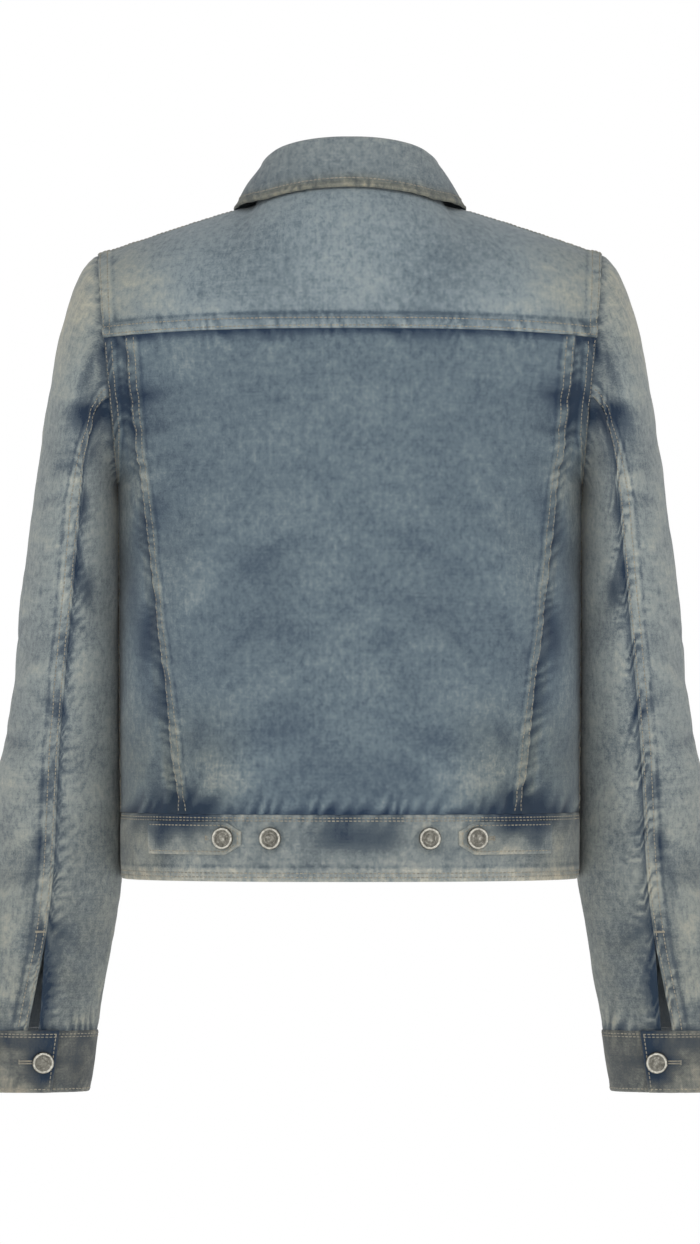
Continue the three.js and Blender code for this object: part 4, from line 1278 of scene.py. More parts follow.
# Seeds of the seams' puckers: both sides of a seam have the same
SEEDS = {
    "back_left": 31, "back_right": 32, "yoke_seam": 33, "waist_seam": 34, "side_right": 35, "side_left": 36,
    "yoke_left": 37, "yoke_right": 38, "shoulder": 39, "front_waist": 41, "placket": 42, "placket_left": 43,
    "placket_right": 44, "collar_top": 71, "collar_left": 72, "collar_right": 73,
}
# Seeds of each piece's own unevenness
CLOTH_SEEDS = {
    "back_centre": 11, "back_side": 12, "back_yoke": 13, "front": 15, "placket": 16, "collar": 74,
    "band_back": 51, "band_left": 55, "band_right": 58, "tab_left": 61, "tab_right": 62,
    "sleeve_left": 84, "sleeve_right": 80, "cuff_left": 94, "cuff_right": 90,
}


def lower_row(z):
    return (z - UNDERARM_Z) / LOWER_HEIGHT


def by_row(limit):
    """The same limit read from a fine table of it, so that it is worked out only once."""
    below, above = np.linspace(HEM_ROW, 0, LIMIT_ROWS[0]), np.linspace(0, ARMHOLE_STEPS, LIMIT_ROWS[1])
    rows = np.concatenate([below, above[1:]])
    shares = limit(rows)
    return lambda row: np.interp(row, rows, shares)


def whole(t, value):
    """One value, as often as t has places."""
    return np.full_like(t, value)


def one(value):
    return np.array([float(value)])


def spaced(surface, kind, across, up, pitches=(GRID, GRID)):
    """The columns and rows of a piece, evenly spaced along its guide row and its guide column."""
    row, column = GUIDES[kind]
    columns = even(lambda t: surface(t, whole(t, row)), *across, pitches[0])
    rows = even(lambda t: surface(whole(t, column), t), *up, pitches[1])
    return columns, rows


def ripples(part, u, v, seed):
    """The unevenness of a part's cloth or tone."""
    return sum(depth * waves(u, v, size, seed + k) for k, (depth, size) in enumerate(RIPPLES[part]))


def mark(kind, place, distance):
    """A worn, dark or warm line, strongest at its own distance from an edge."""
    strength, reach, middle = kind[place]
    return strength * bell(distance - middle, reach)


def onset(place, distance):
    """What sets in over a stretch, at a distance along it."""
    strength, start, full = ONSETS[place]
    return strength * smoothstep(distance, start, full)


def fullness(kind, distance):
    """How far a doubled band swells between its stitched edges."""
    return FULLNESS[kind] * np.sin(np.pi * np.clip(distance / BAND_FILL_WIDTH, 0, 1)) ** 0.5


def body_cloth(side, left, right, bottom, top, mirror, seed, pitch=GRID):
    """Cloth of a body panel between two limits, with its creases and fading."""
    def surface(c, r):
        return body_point(side, mix(left(r), right(r), c), r)

    cloth = Cloth(surface, *spaced(surface, "body", (0, 1), (bottom, top), (pitch, pitch)), flip=side > 0)
    share = mix(left(cloth.r), right(cloth.r), cloth.c)
    x = cloth.points[..., 0] * (-1 if mirror else 1)
    z = cloth.points[..., 2]
    cloth.along_edge["bottom"] = cloth.along_edge["top"] = x
    fade = rising(1 - np.abs(share), CALM["side"]) * rising(cloth.r - WAIST_ROW, CALM["waist"])
    fade = fade * rising(ARMHOLE_STEPS - cloth.r, CALM["armhole"])
    if side < 0:
        marks = body_marks(BACK_CREASES, cloth.points)
        marks = marks + body_marks(RIGHT_BACK_CREASES, cloth.points) * smoothstep(x, *ONE_SIDE_CREASES)
        marks = marks + body_marks(LEFT_BACK_CREASES, cloth.points) * smoothstep(-x, *ONE_SIDE_CREASES)
        folds, shades = BACK_FOLDS, BACK_SHADES
    else:
        marks = body_marks(FRONT_CREASES, cloth.points)
        folds, shades = FRONT_FOLDS, FRONT_SHADES
    ripple = ripples("body", x, z, seed)
    cloth.crease += (marks + ripple) * fade
    cloth.shade += body_marks(shades, cloth.points, "shade")
    cloth.shade += FOLD_SHADE["body"] * body_marks(folds, cloth.points) * fade
    cloth.shade += CREASE_SHADE * (marks + ripple) * fade
    from_seams = np.minimum(cloth.from_edge["left"], cloth.from_edge["right"])
    cloth.warm += WARMTH["seam"] * (from_seams < WARM_SEAM_WIDTH)
    cloth.warm += onset("warm_flank", np.abs(x)) * smoothstep(-z, *WARM_FLANK_DROP)
    return cloth


def sew(kind, cloth, edge, out, mirror, rows=STITCH_ROWS, clip=0.0):
    """Rows of stitches beside an edge, ending a little before its ends."""
    for distance in rows:
        threads[kind].sew(*cloth.line(edge, distance, out, mirror, clip * MM))


def build_back():
    def seam_x(row):
        z = row_point(-1, np.zeros_like(row), row)[..., 2]
        return mix(SIDE_SEAM_WAIST_X, SIDE_SEAM_TOP_X, (z - WAIST_SEAM_Z) / (YOKE_SEAM_Z - WAIST_SEAM_Z))

    seam = by_row(lambda row: share_at(-1, row, seam_x(row)))
    centre = by_row(lambda row: nudged(-1, seam(row), row, -HALF_GAP))
    inner = by_row(lambda row: nudged(-1, seam(row), row, HALF_GAP))
    outer = by_row(lambda row: nudged(-1, 1, row, -HALF_GAP))
    bottom, top = WAIST_ROW + BODY_ROW_GAP, YOKE_ROW - YOKE_ROW_GAP

    cloth = body_cloth(-1, lambda r: -centre(r), centre, bottom, top, False, CLOTH_SEEDS["back_centre"])
    for edge in ("left", "right"):
        cloth.seam_over(edge, SEEDS[f"back_{edge}"], height=1.1, pucker=0.85)
    cloth.seam_under("top", SEEDS["yoke_seam"], pucker=0.55, shade=-0.62)
    cloth.seam_under("bottom", SEEDS["waist_seam"], pucker=0.9, spacing=12)
    for edge in ("left", "right"):
        cloth.round_edges(ROLLS["back_seam"], edge)
        sew("back", cloth, edge, 0, False, clip=3)
    cloth_piece("back_centre", cloth, MATERIALS["body"])

    for name, mirror in SIDES:
        cloth = body_cloth(-1, inner, outer, bottom, top, mirror, CLOTH_SEEDS["back_side"])
        cloth.seam_under("left", SEEDS[f"back_{name}"], pucker=0.85)
        cloth.seam_under("top", SEEDS["yoke_seam"], pucker=0.55, shade=-0.62)
        cloth.seam_under("bottom", SEEDS["waist_seam"], pucker=0.9, spacing=12)
        cloth.seam_over("right", SEEDS[f"side_{name}"], height=0.9, pucker=0.6)
        cloth.round_edges(ROLLS["side_seam"], "right")
        sew("back", cloth, "right", 0, mirror, clip=3)
        cloth_piece(f"back_side_{name}", cloth, MATERIALS["body"], mirror=mirror)

    def surface(share, row):
        return body_point(-1, share * (1 - HALF_GAP / YOKE_HALF_WIDTH), row)

    heights = (YOKE_ROW + YOKE_ROW_GAP, ARMHOLE_STEPS - YOKE_ROW_GAP)
    cloth = Cloth(surface, *spaced(surface, "yoke", (-1, 1), heights, (GRID, YOKE_GRID)))
    x, z = cloth.points[..., 0], cloth.points[..., 2]
    cloth.along_edge["bottom"] = cloth.along_edge["top"] = x
    calm = rising(ARMHOLE_STEPS - cloth.r, CALM["yoke"])
    cloth.crease += ripples("yoke", x, z, CLOTH_SEEDS["back_yoke"]) * calm
    cloth.shade += body_marks(BACK_SHADES, cloth.points, "shade")
    from_top = cloth.from_edge["top"]
    cloth.warm += onset("warm_yoke_end", np.abs(x)) + mark(WARM, "shoulder_line", from_top)
    cloth.seam_over("bottom", SEEDS["yoke_seam"], height=1.1, pucker=0.6)
    # A dark line on the yoke beside its seam's band: unfaded indigo and painted shade
    cloth.shade -= mark(DARK, "above_yoke_seam", cloth.from_edge["bottom"])
    shoulder = smoothstep(np.abs(x), SHOULDER_STITCH_X - SHOULDER_SEAM_START, SHOULDER_STITCH_X)
    cloth.relief += SHOULDER_SEAM_HEIGHT * (1 - smoothstep(from_top, *SHOULDER_SEAM)) * shoulder
    wave = beads(x, from_top, SEEDS["shoulder"], SHOULDER_PUCKERS["spacing"])
    cloth.crease += SHOULDER_PUCKERS["depth"] * wave * bell(from_top, SHOULDER_PUCKERS["reach"]) * shoulder
    cloth.round_edges(ROLLS["yoke_seam"], "bottom")
    for edge in ("left", "right"):
        cloth.seam_over(edge, SEEDS[f"yoke_{edge}"], height=0.9, pucker=0.45)
        cloth.round_edges(ROLLS["armhole"], edge)
        sew("back", cloth, edge, 0, False, clip=2)
    sew("back", cloth, "bottom", 0, False, clip=2)
    for distance in STITCH_ROWS:
        path, outward = cloth.line("top", distance, 0, False)
        for side in (-1, 1):
            shoulder = path[:, 0] * side > SHOULDER_STITCH_X * MM
            threads["back"].sew(path[shoulder], outward[shoulder])
    cloth_piece("back_yoke", cloth, MATERIALS["yoke"])


def build_fronts():
    side_edge = by_row(lambda row: nudged(1, 1, row, -HALF_GAP))
    band_edge = by_row(lambda row: share_at(1, row, PLACKET_HALF_WIDTH + HALF_GAP))
    bottom, top = WAIST_ROW + BODY_ROW_GAP, ARMHOLE_STEPS - YOKE_ROW_GAP
    for name, mirror in SIDES:
        cloth = body_cloth(1, band_edge, side_edge, bottom, top, mirror, CLOTH_SEEDS["front"])
        cloth.seam_under("bottom", SEEDS["front_waist"], pucker=0.8, spacing=12)
        cloth.seam_under("right", SEEDS[f"side_{name}"], pucker=0.6)
        cloth.seam_under("left", SEEDS["placket"], pucker=0.4)
        cloth.shade += onset("pale_front_top", cloth.points[..., 2])
        at_armhole = smoothstep(cloth.r, *ARMHOLE_SEAM_ROWS)
        band = 1 - smoothstep(cloth.from_edge["right"], *SHOULDER_SEAM)
        cloth.relief += SHOULDER_SEAM_HEIGHT * band * at_armhole
        cloth.round_edges(ROLLS["front_side"], "right")
        armhole = slice(np.searchsorted(cloth.r[:, 0], ARMHOLE_START_ROW), -2)
        for distance in STITCH_ROWS:
            path, outward = cloth.line("right", distance, 0, mirror)
            threads["front"].sew(path[armhole], outward[armhole])
        cloth_piece(f"front_{name}", cloth, MATERIALS["body"], mirror=mirror)

    half = by_row(lambda row: share_at(1, row, PLACKET_HALF_WIDTH - HALF_GAP))
    seed = CLOTH_SEEDS["placket"]
    cloth = body_cloth(1, lambda r: -half(r), half, bottom, top, False, seed, pitch=HIDDEN_GRID)
    trim_piece("placket_under", cloth, CLOTH)

    left = by_row(lambda row: share_at(1, row, PLACKET_HALF_WIDTH))
    right = by_row(lambda row: share_at(1, row, PLACKET_HALF_WIDTH + PLACKET_LAP))
    lap_top = ARMHOLE_STEPS - PLACKET_TOP_GAP_ROWS
    cloth = body_cloth(1, lambda r: -left(r), right, bottom, lap_top, False, seed)
    cloth.crease *= PLACKET_CALM
    for edge, rows in PLACKET_ROWS.items():
        way, along, seed = cloth.from_edge[edge], cloth.along_edge[edge], SEEDS[f"placket_{edge}"]
        cloth.puckers(way, along, seed, depth=0.25, spacing=10)
        cloth.seam = np.minimum(cloth.seam, cloth.from_edge[edge])
        sew("front", cloth, edge, PLACKET_OUT, False, rows, clip=3)
    cloth.round_edges(ROLLS["placket"])
    trim_piece("placket_over", cloth, PLACKET_THICKNESS, PLACKET_OUT)


def band_cloth(surface, start, end, side, mirror, seed):
    """Doubled cloth of the waistband, stitched near its seam and near the hem."""
    heights = (HEM_ROW, WAIST_ROW - BODY_ROW_GAP)
    cloth = Cloth(surface, *spaced(surface, "band", (start, end), heights), flip=side > 0)
    x = cloth.points[..., 0] * (-1 if mirror else 1)
    cloth.along_edge["bottom"] = cloth.along_edge["top"] = x
    d_top, d_bottom = cloth.from_edge["top"], cloth.from_edge["bottom"]
    cloth.puckers(d_top, x, seed, depth=0.45, spacing=12)
    cloth.puckers(d_bottom, x, seed + 1, depth=0.4, spacing=9)
    cloth.relief += fullness("band", d_bottom)
    cloth.shade += mark(WORN, "hem", d_bottom) + mark(WORN, "band_top", d_top)
    cloth.shade += ripples("band_tone", x, d_top, seed + 2) - onset("dark_band_end", np.abs(x))
    cloth.shade += body_marks(BACK_SHADES if side < 0 else FRONT_SHADES, cloth.points, "shade")
    cloth.warm += WARMTH["band"] + onset("warm_band_end", np.abs(x))
    cloth.seam = np.minimum(cloth.seam, d_bottom + HEM_RIDGE_SHIFT)
    cloth.round_edges(ROLLS["band"])
    return cloth


def build_waistband():
    side_gap = HALF_GAP / BODY_HALF_WIDTH

    def back(share, row):
        return body_point(-1, share, row)

    cloth = band_cloth(back, -1 + side_gap, 1 - side_gap, -1, False, CLOTH_SEEDS["band_back"])
    for edge in ("top", "bottom"):
        sew("trim", cloth, edge, BAND_OUT, False, BAND_ROWS[edge], clip=2)
    trim_piece("waistband_back", cloth, DOUBLE_CLOTH, BAND_OUT)

    lap = (PLACKET_HALF_WIDTH, PLACKET_HALF_WIDTH + BAND_RAMP)
    end, ramp = (float(share_at(1, one(HEM_ROW), one(x))[0]) for x in lap)

    def under(share, row):
        return body_point(1, share, row)

    def over(share, row):
        made = body_point(1, share, row)
        made[..., 1] += smoothstep(-share, -ramp, -end * BAND_LAP_MARGIN) * (DOUBLE_CLOTH + SEAM_GAP)
        return made

    for name, surface, mirror in (("left", under, True), ("right", over, False)):
        cloth = band_cloth(surface, -end, 1 - side_gap, 1, mirror, CLOTH_SEEDS[f"band_{name}"])
        for edge, rows in BAND_ROWS.items():
            sew("trim", cloth, edge, BAND_OUT, mirror, rows, clip=3)
        trim_piece(f"waistband_front_{name}", cloth, DOUBLE_CLOTH, BAND_OUT, mirror)


def build_tabs():
    length = TAB["outer_x"] - TAB["tip_x"]

    def surface(c, r):
        left = c * length - (length - TAB["point"])
        point = mix(TAB["half_height"], TAB["tip_half_height"], left / TAB["point"])
        half = np.where(left > 0, point, TAB["half_height"])
        row = lower_row(TAB["middle_z"] + r * half)
        return body_point(-1, share_at(-1, row, mix(TAB["outer_x"], TAB["tip_x"], c)), row)

    out = BAND_OUT + SEAM_GAP + TAB_THICKNESS
    grid = spaced(surface, "tab", (0, 1), (-1, 1), (FINE_GRID, FINE_GRID))
    for name, mirror in SIDES:
        cloth = Cloth(surface, *grid, flip=True)
        seed = CLOTH_SEEDS[f"tab_{name}"]
        edge = np.minimum.reduce([cloth.from_edge[k] for k in ("bottom", "top", "right")])
        cloth.relief += onset("tab_rise", edge)
        cloth.shade += mark(WORN, "tab", edge) + TAB_TONE
        cloth.shade += TAB_FADING * body_marks(BACK_SHADES, cloth.points, "shade")
        cloth.warm += WARMTH["tab"]
        cloth.shade += ripples("tab_tone", cloth.right, cloth.up, seed)
        cloth.crease += ripples("tab", cloth.right, cloth.up, seed + 2)
        cloth.round_edges(ROLLS["tab"])
        for side in ("bottom", "top", "right"):
            sew("trim", cloth, side, out, mirror, (TAB_ROW,), clip=TAB_ROW)
        trim_piece(f"waist_tab_{name}", cloth, TAB_THICKNESS, out, mirror)


def build_collar():
    columns, rows = spaced(collar_point, "collar", (-COLLAR_END, COLLAR_END), (0, 3), (GRID, FINE_GRID))
    cloth = Cloth(collar_point, columns, rows, flip=True)
    d, s = cloth.from_edge["top"], cloth.right - cloth.right[:, [len(columns) // 2]]
    leaf = smoothstep(cloth.r, *LEAF_TRAVEL)
    for edge in ("top", "left", "right"):
        along, inward = s if edge == "top" else cloth.up, cloth.from_edge[edge]
        wave = beads(along, inward, SEEDS[f"collar_{edge}"], COLLAR_PUCKERS["spacing"])
        wave = wave * bell(inward, COLLAR_PUCKERS["reach"])
        cloth.crease += COLLAR_PUCKERS["depth"] * wave * leaf
        cloth.shade += COLLAR_PUCKERS["shade"] * wave * leaf
    rim = np.minimum(d, np.minimum(cloth.from_edge["left"], cloth.from_edge["right"]))
    cloth.crease += ripples("collar", s, d, CLOTH_SEEDS["collar"]) * leaf
    cloth.relief += onset("leaf_rise", rim) * leaf
    # Paler along the fold, painted shade all over, and darker towards the leaf's edge
    cloth.shade += mark(WORN, "collar_fold", cloth.r) - COLLAR_PAINTED_SHADE - leaf * mark(DARK, "collar_fall", d)
    cloth.shade += mark(WORN, "collar_rim", rim) * leaf
    cloth.warm += mark(WARM, "collar_rim", rim) * leaf
    cloth.round_edges(ROLLS["collar"], "top", "left", "right")
    sew("trim", cloth, "top", 0, False, (COLLAR_ROW,), clip=COLLAR_ROW)
    for edge in ("left", "right"):
        path, outward = cloth.line(edge, COLLAR_ROW, 0, False)
        kept = slice(np.searchsorted(cloth.r[:, 0], COLLAR_STAND_TRAVEL), -3)
        threads["trim"].sew(path[kept], outward[kept])
    trim_piece("collar", cloth, COLLAR_THICKNESS)


def build_sleeves():
    lower_length = CUFF_TOP_DROP - SLEEVE_RING_DROP
    vent_start = 2 - VENT_LENGTH / lower_length
    seam_half = HALF_GAP / SLEEVE_STEP_LENGTH
    reaches = (SLEEVE_START, 2 - HALF_GAP / lower_length)

    def vent_half(reach):
        return seam_half + VENT_HALF_WIDTH / SLEEVE_STEP_LENGTH * smoothstep(reach, vent_start, 2)

    def sheet(start, end):
        return lambda c, reach: sleeve_point(mix(start(reach), end(reach), c), reach)

    def back_seam(reach):
        return SLEEVE_BACK_SEAM + vent_half(reach)

    def under_back_seam(reach):
        return RING_STEPS + SLEEVE_BACK_SEAM - vent_half(reach)

    def front_seam(reach):
        return SLEEVE_FRONT_SEAM - seam_half + 0 * reach

    def under_front_seam(reach):
        return SLEEVE_FRONT_SEAM + seam_half + 0 * reach

    panels = (("top", back_seam, front_seam), ("under", under_front_seam, under_back_seam))
    for kind, start, end in panels:
        surface = sheet(start, end)
        grid = spaced(surface, f"sleeve_{kind}", (0, 1), reaches)
        for name, mirror in SIDES:
            cloth = Cloth(surface, *grid, flip=True)
            unwound = mix(start(cloth.r), end(cloth.r), cloth.c)
            step = np.mod(unwound, RING_STEPS)
            drop = -cloth.points[..., 2]
            cloth.grain = (unwound * SLEEVE_STEP_LENGTH, -cloth.from_edge["top"])
            seed = CLOTH_SEEDS[f"sleeve_{name}"]
            low, high = (np.minimum(1, cloth.from_edge[edge] / run) for edge, run in SLEEVE_CALM.items())
            fade = low * high
            marks = sleeve_marks(SLEEVE_CREASES, step, drop)
            ripple = ripples("sleeve", step * SLEEVE_STEP_LENGTH, drop, seed)
            cloth.crease += (marks + ripple) * fade
            cloth.shade += sleeve_marks(SLEEVE_SHADES, step, drop, "shade")
            folds = FOLD_SHADE["sleeve"] * sleeve_marks(SLEEVE_FOLDS, step, drop)
            cloth.shade += (folds + CREASE_SHADE * (marks + ripple)) * fade
            cloth.warm += WARMTH["sleeve"] + onset("warm_forearm", drop) + onset("warm_sleeve_head", -drop)
            cloth.seam_under("bottom", seed + 2, pucker=0.55, spacing=10)
            cloth.seam_under("top", seed + 3, pucker=0.6, spacing=9)
            if kind == "top":
                cloth.seam_over("left", seed + 5, width=9, height=1.0, pucker=0.75)
                cloth.seam_under("right", seed + 6, pucker=0.35, spacing=13)
                cloth.round_edges(ROLLS["sleeve_seam"], "left")
                sew("sleeves", cloth, "left", 0, mirror, SLEEVE_ROWS, clip=3)
                foot = np.searchsorted(cloth.r[:, 0], vent_start)
                lines = [cloth.line("left", distance, 0, mirror) for distance in VENT_TACK]
                path, outward = (np.array([line[k][foot] for line in lines]) for k in (0, 1))
                threads["sleeves"].satin(path, outward, TACK_WIDTH)
            else:
                cloth.seam_under("right", seed + 5, pucker=0.75)
                cloth.seam_under("left", seed + 6, pucker=0.35, spacing=13)
            node, cut = f"sleeve_{kind}_{name}", f"sleeve_{kind}"
            cloth_piece(node, cloth, MATERIALS["sleeve"], mirror=mirror)


def cuff_surface(step, drop):
    def at(column):
        return smooth_column(SLEEVE, "drop", drop, column)

    made = sleeve_ring(step, drop)
    away = unit(xyz(made[..., 0] - at("centre_x"), made[..., 1] - at("centre_y"), 0))
    low, high = CUFF_RAMP_STEPS
    over = 1 - smoothstep(step, SLEEVE_BACK_SEAM + low, SLEEVE_BACK_SEAM + high)
    return made + away * (over * (DOUBLE_CLOTH + SEAM_GAP) + BAND_OUT)[..., None]


def build_cuffs():
    ends = (SLEEVE_BACK_SEAM - CUFF_LAP_STEPS, SLEEVE_BACK_SEAM + RING_STEPS - CUFF_END_CLEARANCE)
    grid = spaced(cuff_surface, "cuff", ends, (CUFF_TOP_DROP + HALF_GAP, CUFF_END_DROP))
    for name, mirror in SIDES:
        cloth = Cloth(cuff_surface, *grid, flip=True)
        seed = CLOTH_SEEDS[f"cuff_{name}"]
        top, bottom, s = cloth.from_edge["bottom"], cloth.from_edge["top"], cloth.right
        cloth.puckers(top, s, seed, depth=0.35, spacing=10)
        cloth.puckers(bottom, s, seed + 1, depth=0.3, spacing=9)
        cloth.crease += ripples("cuff", s, top, seed + 2)
        cloth.relief += fullness("cuff", top)
        cloth.shade += mark(WORN, "cuff_hem", bottom) + mark(WORN, "cuff_top", top)
        cloth.shade += ripples("cuff_tone", s, top, seed + 3)
        cloth.shade -= CUFF_DARKNESS + mark(DARK, "cuff_middle", top) * (0.5 + 0.5 * np.sin(s / CUFF_STREAK))
        x, y = cloth.points[..., 0], cloth.points[..., 1]
        outer_back = smoothstep(x, *CUFF_OUTER_X) * smoothstep(-y, *CUFF_BACK_Y)
        cloth.shade += outer_back * (CUFF_DARKNESS - mark(DARK, "cuff_outside", top))
        # Painted shadow round the button, where the cuff laps
        cloth.shade -= mark(DARK, "cuff_lap_shadow", s) * smoothstep(bottom, *CUFF_LAP_SHADOW_RISE)
        cloth.warm += WARMTH["cuff"]
        cloth.round_edges(ROLLS["cuff"])
        for edge, distances in CUFF_ROWS.items():
            sew("sleeves", cloth, edge, 0, mirror, distances, clip=3)
        finish = MATERIALS["cuff"]
        cloth_piece(f"cuff_{name}", cloth, finish, DOUBLE_CLOTH, mirror=mirror)


# Tack buttons

BUTTON_SIDES = 40
DRUM = {"radius": 8.5 * MM, "depth": 0.9 * MM, "location": (0, 0, 2.6 * MM)}
# Rings of the face from its rim inwards, and of the foot from the drum's rim to the shank: each is so much
# narrower than the last, and so much further out
FACE_RINGS = (
    (0.25, 0.55), (0.4, 0.5), (0.45, 0.25), (0.45, 0.0), (0.4, -0.2), (0.5, -0.65), (1.3, -0.12),
    (0.3, 0.28), (0.35, 0.08), (0.3, -0.3), (1.0, 0.0), (0.8, 0.22), (0.9, 0.14),
)
FOOT_RINGS = ((0.3, 0.3), (4.1, 0), (0, 1.2), (0, 0.35))
DISH_Z, DISH_DEPTH = 2.2, 2.6
BUTTON_SMOOTH_ANGLE = math.radians(34)
HOLE_REACH = (-6.0, 13.0)
HOLE_STEPS = 12
HOLE_LIP = 1.5 * MM
LIP_APART = 0.62
HOLE_BAR = 1.15
HOLE_OUT = {"tab": 0.5, "cuff": 0.4}
CUFF_STEP_LENGTH = 10.5
FACES_THE_WAY = 0.9
NEXT_ROW = 0.01
BUTTON_SPAN = 3.0


def model_button():
    """The button, facing +Z with its shank's foot at the origin."""
    deselect()
    bpy.ops.mesh.primitive_cylinder_add(vertices=BUTTON_SIDES, **DRUM)
    button = bpy.context.object
    bpy.ops.object.transform_apply(location=True, rotation=True, scale=True)
    bpy.ops.object.mode_set(mode="EDIT")
    bpy.ops.mesh.select_mode(type="FACE")

    def pick(direction):
        bpy.ops.mesh.select_all(action="DESELECT")
        bpy.ops.object.mode_set(mode="OBJECT")
        for face in button.data.polygons:
            face.select = len(face.vertices) == BUTTON_SIDES and face.normal.z * direction > FACES_THE_WAY
        bpy.ops.object.mode_set(mode="EDIT")

    for direction, rings in ((1, FACE_RINGS), (-1, FOOT_RINGS)):
        pick(direction)
        for narrower, rise in rings:
            bpy.ops.mesh.inset(thickness=narrower * MM, depth=rise * MM)
    bpy.ops.mesh.select_all(action="SELECT")
    bpy.ops.mesh.normals_make_consistent(inside=False)
    bpy.ops.object.mode_set(mode="OBJECT")
    # Each point's height above the dish, for the painted shade and painted highlight of the finish
    heights = [min(max((v.co.z / MM - DISH_Z) / DISH_DEPTH, 0), 1) for v in button.data.vertices]
    button.data.attributes.new("height", "FLOAT", "POINT").data.foreach_set("value", heights)
    bpy.ops.object.shade_smooth_by_angle(angle=BUTTON_SMOOTH_ANGLE)
    return button


def buttonhole(kind, point_at, outward, out, mirror):
    """Two lips of satin stitch and a bar at the far end, from under the button to past its rim."""
    places = np.linspace(*HOLE_REACH, HOLE_STEPS)
    path = (point_at(places) + outward * out) * side_sign(mirror) * MM
    normals = np.repeat([outward * side_sign(mirror)], len(places), axis=0)
    for side in (-1, 1):
        threads[kind].satin(path, normals, HOLE_LIP, side * HOLE_LIP * LIP_APART)
    beyond = path[-1] + unit(path[-1] - path[-2]) * Thread.LOOK
    across = unit(np.cross(normals[0], path[-1] - path[-2])) * HOLE_LIP * HOLE_BAR
    threads[kind].satin(np.array([beyond - across, beyond + across]), normals[:2], HOLE_LIP)


def place_button(model, name, face, outward, mirror):
    place = Vector(face * side_sign(mirror)) * MM
    facing = Vector(outward * side_sign(mirror)).to_track_quat("Z", "Y").to_matrix().to_4x4()
    mesh = model.data.copy()
    mesh.transform(Matrix.Translation(place) @ facing)
    piece = bpy.data.objects.new(f"tack_{name}", mesh)
    bpy.context.scene.collection.objects.link(piece)
    mesh.materials.append(MATERIALS["metal"])
    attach(piece, "root")
    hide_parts(name)


def row_at_middle_front(z):
    low, high = float(WAIST_ROW), float(ARMHOLE_STEPS)
    for _ in range(ROW_HALVINGS):
        middle = (low + high) / 2
        low, high = (middle, high) if body_point(1, one(0), one(middle))[0, 2] < z else (low, middle)
    return (low + high) / 2


def build_buttons():
    model = model_button()
    for k, z in enumerate(FRONT_BUTTON_Z):
        on_band = z < WAIST_SEAM_Z
        row = lower_row(z) if on_band else row_at_middle_front(z)

        def front_at(x, row=row):
            return body_point(1, share_at(1, whole(x, row), np.abs(x)) * np.sign(x), whole(x, row))

        face = body_point(1, one(0), one(row))[0]
        across = unit(body_point(1, one(0), one(row + NEXT_ROW))[0] - face)
        outward = unit(np.array([0, across[2], -across[1]]))
        out = BAND_OUT + DOUBLE_CLOTH + SEAM_GAP if on_band else PLACKET_OUT
        buttonhole("front", front_at, outward, out, False)
        place_button(model, f"button_front_{k + 1}", face + outward * out, outward, False)
    row = lower_row(TAB["middle_z"])
    tab_out = BAND_OUT + SEAM_GAP + TAB_THICKNESS
    for label, x, out in (("tab", TAB_BUTTON_X, tab_out), ("band", FREE_BUTTON_X, BAND_OUT + SEAM_GAP)):

        def back_at(apart, x=x):
            return body_point(-1, share_at(-1, whole(apart, row), x + apart), whole(apart, row))

        face, beside = back_at(np.array([0.0, 1.0]))
        outward = unit(np.array([beside[1] - face[1], face[0] - beside[0], 0]))
        for name, mirror in SIDES:
            if label == "tab":
                buttonhole("trim", back_at, outward, out + HOLE_OUT["tab"], mirror)
            place_button(model, f"button_{label}_{name}", face + outward * out, outward, mirror)
    middle_step, drop = SLEEVE_BACK_SEAM - CUFF_LAP_STEPS / 2, (CUFF_TOP_DROP + CUFF_END_DROP) / 2

    def cuff_at(apart):
        return cuff_surface(middle_step + apart / CUFF_STEP_LENGTH, whole(apart, drop))

    before, face, after = cuff_at(np.array([-BUTTON_SPAN, 0.0, BUTTON_SPAN]))
    along = cuff_surface(one(middle_step), one(drop + 1))[0] - face
    outward = unit(np.cross(along, after - before))
    for name, mirror in SIDES:
        buttonhole("sleeves", cuff_at, outward, HOLE_OUT["cuff"], mirror)
        place_button(model, f"button_cuff_{name}", face, outward, mirror)
    deselect()
    model.select_set(True)
    bpy.ops.object.delete()


build_back()
build_fronts()
build_waistband()
build_tabs()
build_collar()
build_sleeves()
build_cuffs()
build_buttons()
for part, thread in threads.items():
    thread.make(f"stitching_{part}")


# Stage and light

PAPER_UNEVENNESS = 1.02


def studio_finish(name, colour, glow):
    """Pale paper, very slightly uneven, which gives off a little light of its own."""
    s = Shader(name)
    grain = s.noise(s.object_place(), scale=3.0, detail=3.0)
    paler = tuple(min(c * PAPER_UNEVENNESS, 1) for c in colour)
    s.surface_values({
        "Base Color": s.ramp(grain, (0.2, colour), (0.8, paler)),
        "Roughness": 0.9,
        "Emission Color": (1, 1, 1, 1),
        "Emission Strength": glow,
    })
    return s.material


def sheet_of_stage(name, corners, finish):
    mesh = bpy.data.meshes.new(name)
    mesh.from_pydata(corners, [], [tuple(range(len(corners)))])
    mesh.materials.append(finish)
    piece = bpy.data.objects.new(name, mesh)
    bpy.context.scene.collection.objects.link(piece)


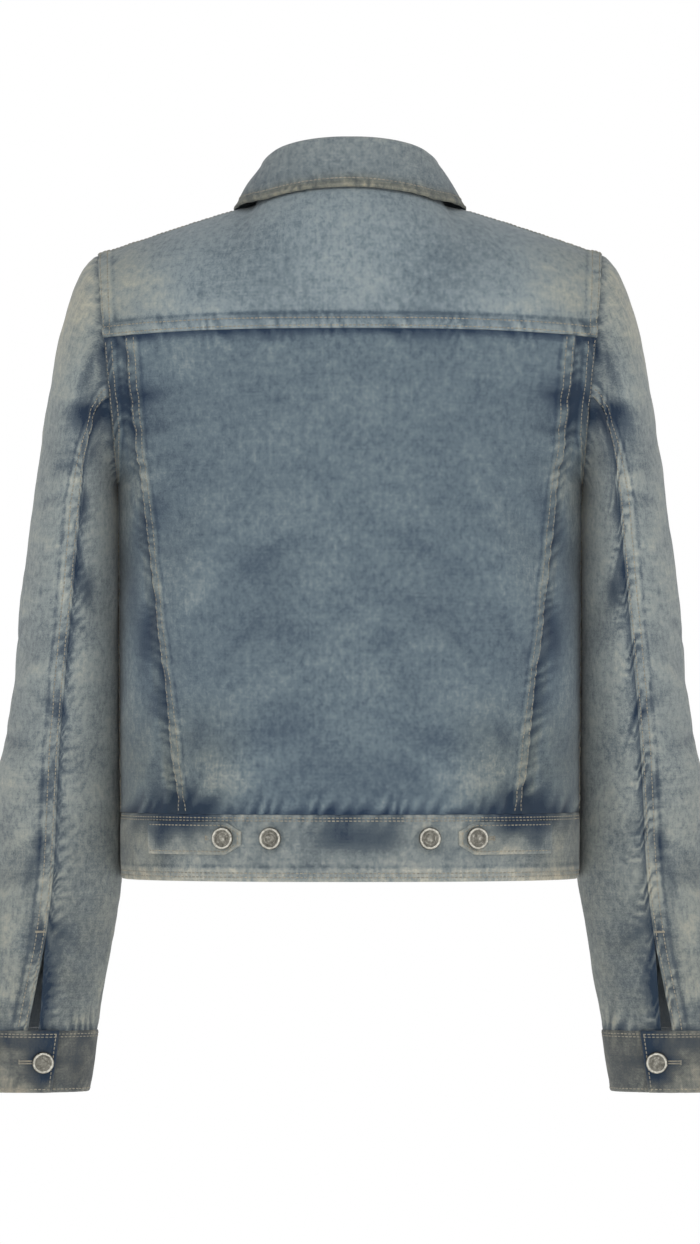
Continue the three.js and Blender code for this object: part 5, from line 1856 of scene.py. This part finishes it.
def area_light(name, place, aim_z, size, power):
    data = bpy.data.lights.new(name, "AREA")
    data.shape = "RECTANGLE"
    data.size, data.size_y = size
    data.energy = power
    light = bpy.data.objects.new(name, data)
    light.location = place
    light.rotation_euler = (Vector((0, 0, aim_z)) - Vector(place)).to_track_quat("-Z", "Y").to_euler()
    bpy.context.scene.collection.objects.link(light)


FLOOR_Z = -1.35
FLOOR_RADIUS = 6.5
FLOOR_SIDES = 96
FLOOR_COLOUR = srgb(246, 246, 245)
FLOOR_GLOW = 0.38
floor_turns = np.linspace(0, 2 * math.pi, FLOOR_SIDES + 1)[:-1]
floor_rim = [(FLOOR_RADIUS * math.cos(turn), FLOOR_RADIUS * math.sin(turn), FLOOR_Z) for turn in floor_turns]
sheet_of_stage("floor", floor_rim, studio_finish("floor_paper", FLOOR_COLOUR, FLOOR_GLOW))

# Soft lamps: name, place, the height on the jacket that each is aimed at, width and height, and power
LAMPS = (
    ("key", (0.0, -2.0, 1.8), -0.3, (2.8, 1.4), 30),
    ("camera_fill", (0.0, -3.6, -0.2), -0.35, (1.6, 2.4), 22),
    ("left_fill", (-2.4, -1.6, 0.1), -0.35, (1.2, 2.2), 19),
    ("right_fill", (2.4, -1.6, 0.1), -0.35, (1.2, 2.2), 19),
    ("front_key", (0.0, 2.4, 1.4), -0.3, (2.4, 1.6), 20),
    ("front_fill", (0.0, 3.6, -0.2), -0.35, (1.6, 2.4), 30),
)
for lamp in LAMPS:
    area_light(*lamp)

# The studio's white walls: bright where they are seen, softer as light
AMBIENT, WALL = 0.4, 1.0
world = bpy.data.worlds.new("studio")
world.use_nodes = True
walls = world.node_tree
seen = walls.nodes.new("ShaderNodeLightPath").outputs["Is Camera Ray"]
brightness = walls.nodes.new("ShaderNodeMath")
brightness.operation = "MULTIPLY_ADD"
brightness.inputs[1].default_value = WALL - AMBIENT
brightness.inputs[2].default_value = AMBIENT
walls.links.new(seen, brightness.inputs[0])
walls.links.new(brightness.outputs[0], walls.nodes["Background"].inputs["Strength"])
walls.nodes["Background"].inputs["Color"].default_value = (1, 1, 1, 1)
bpy.context.scene.world = world
bpy.context.scene.view_settings.view_transform = "Standard"
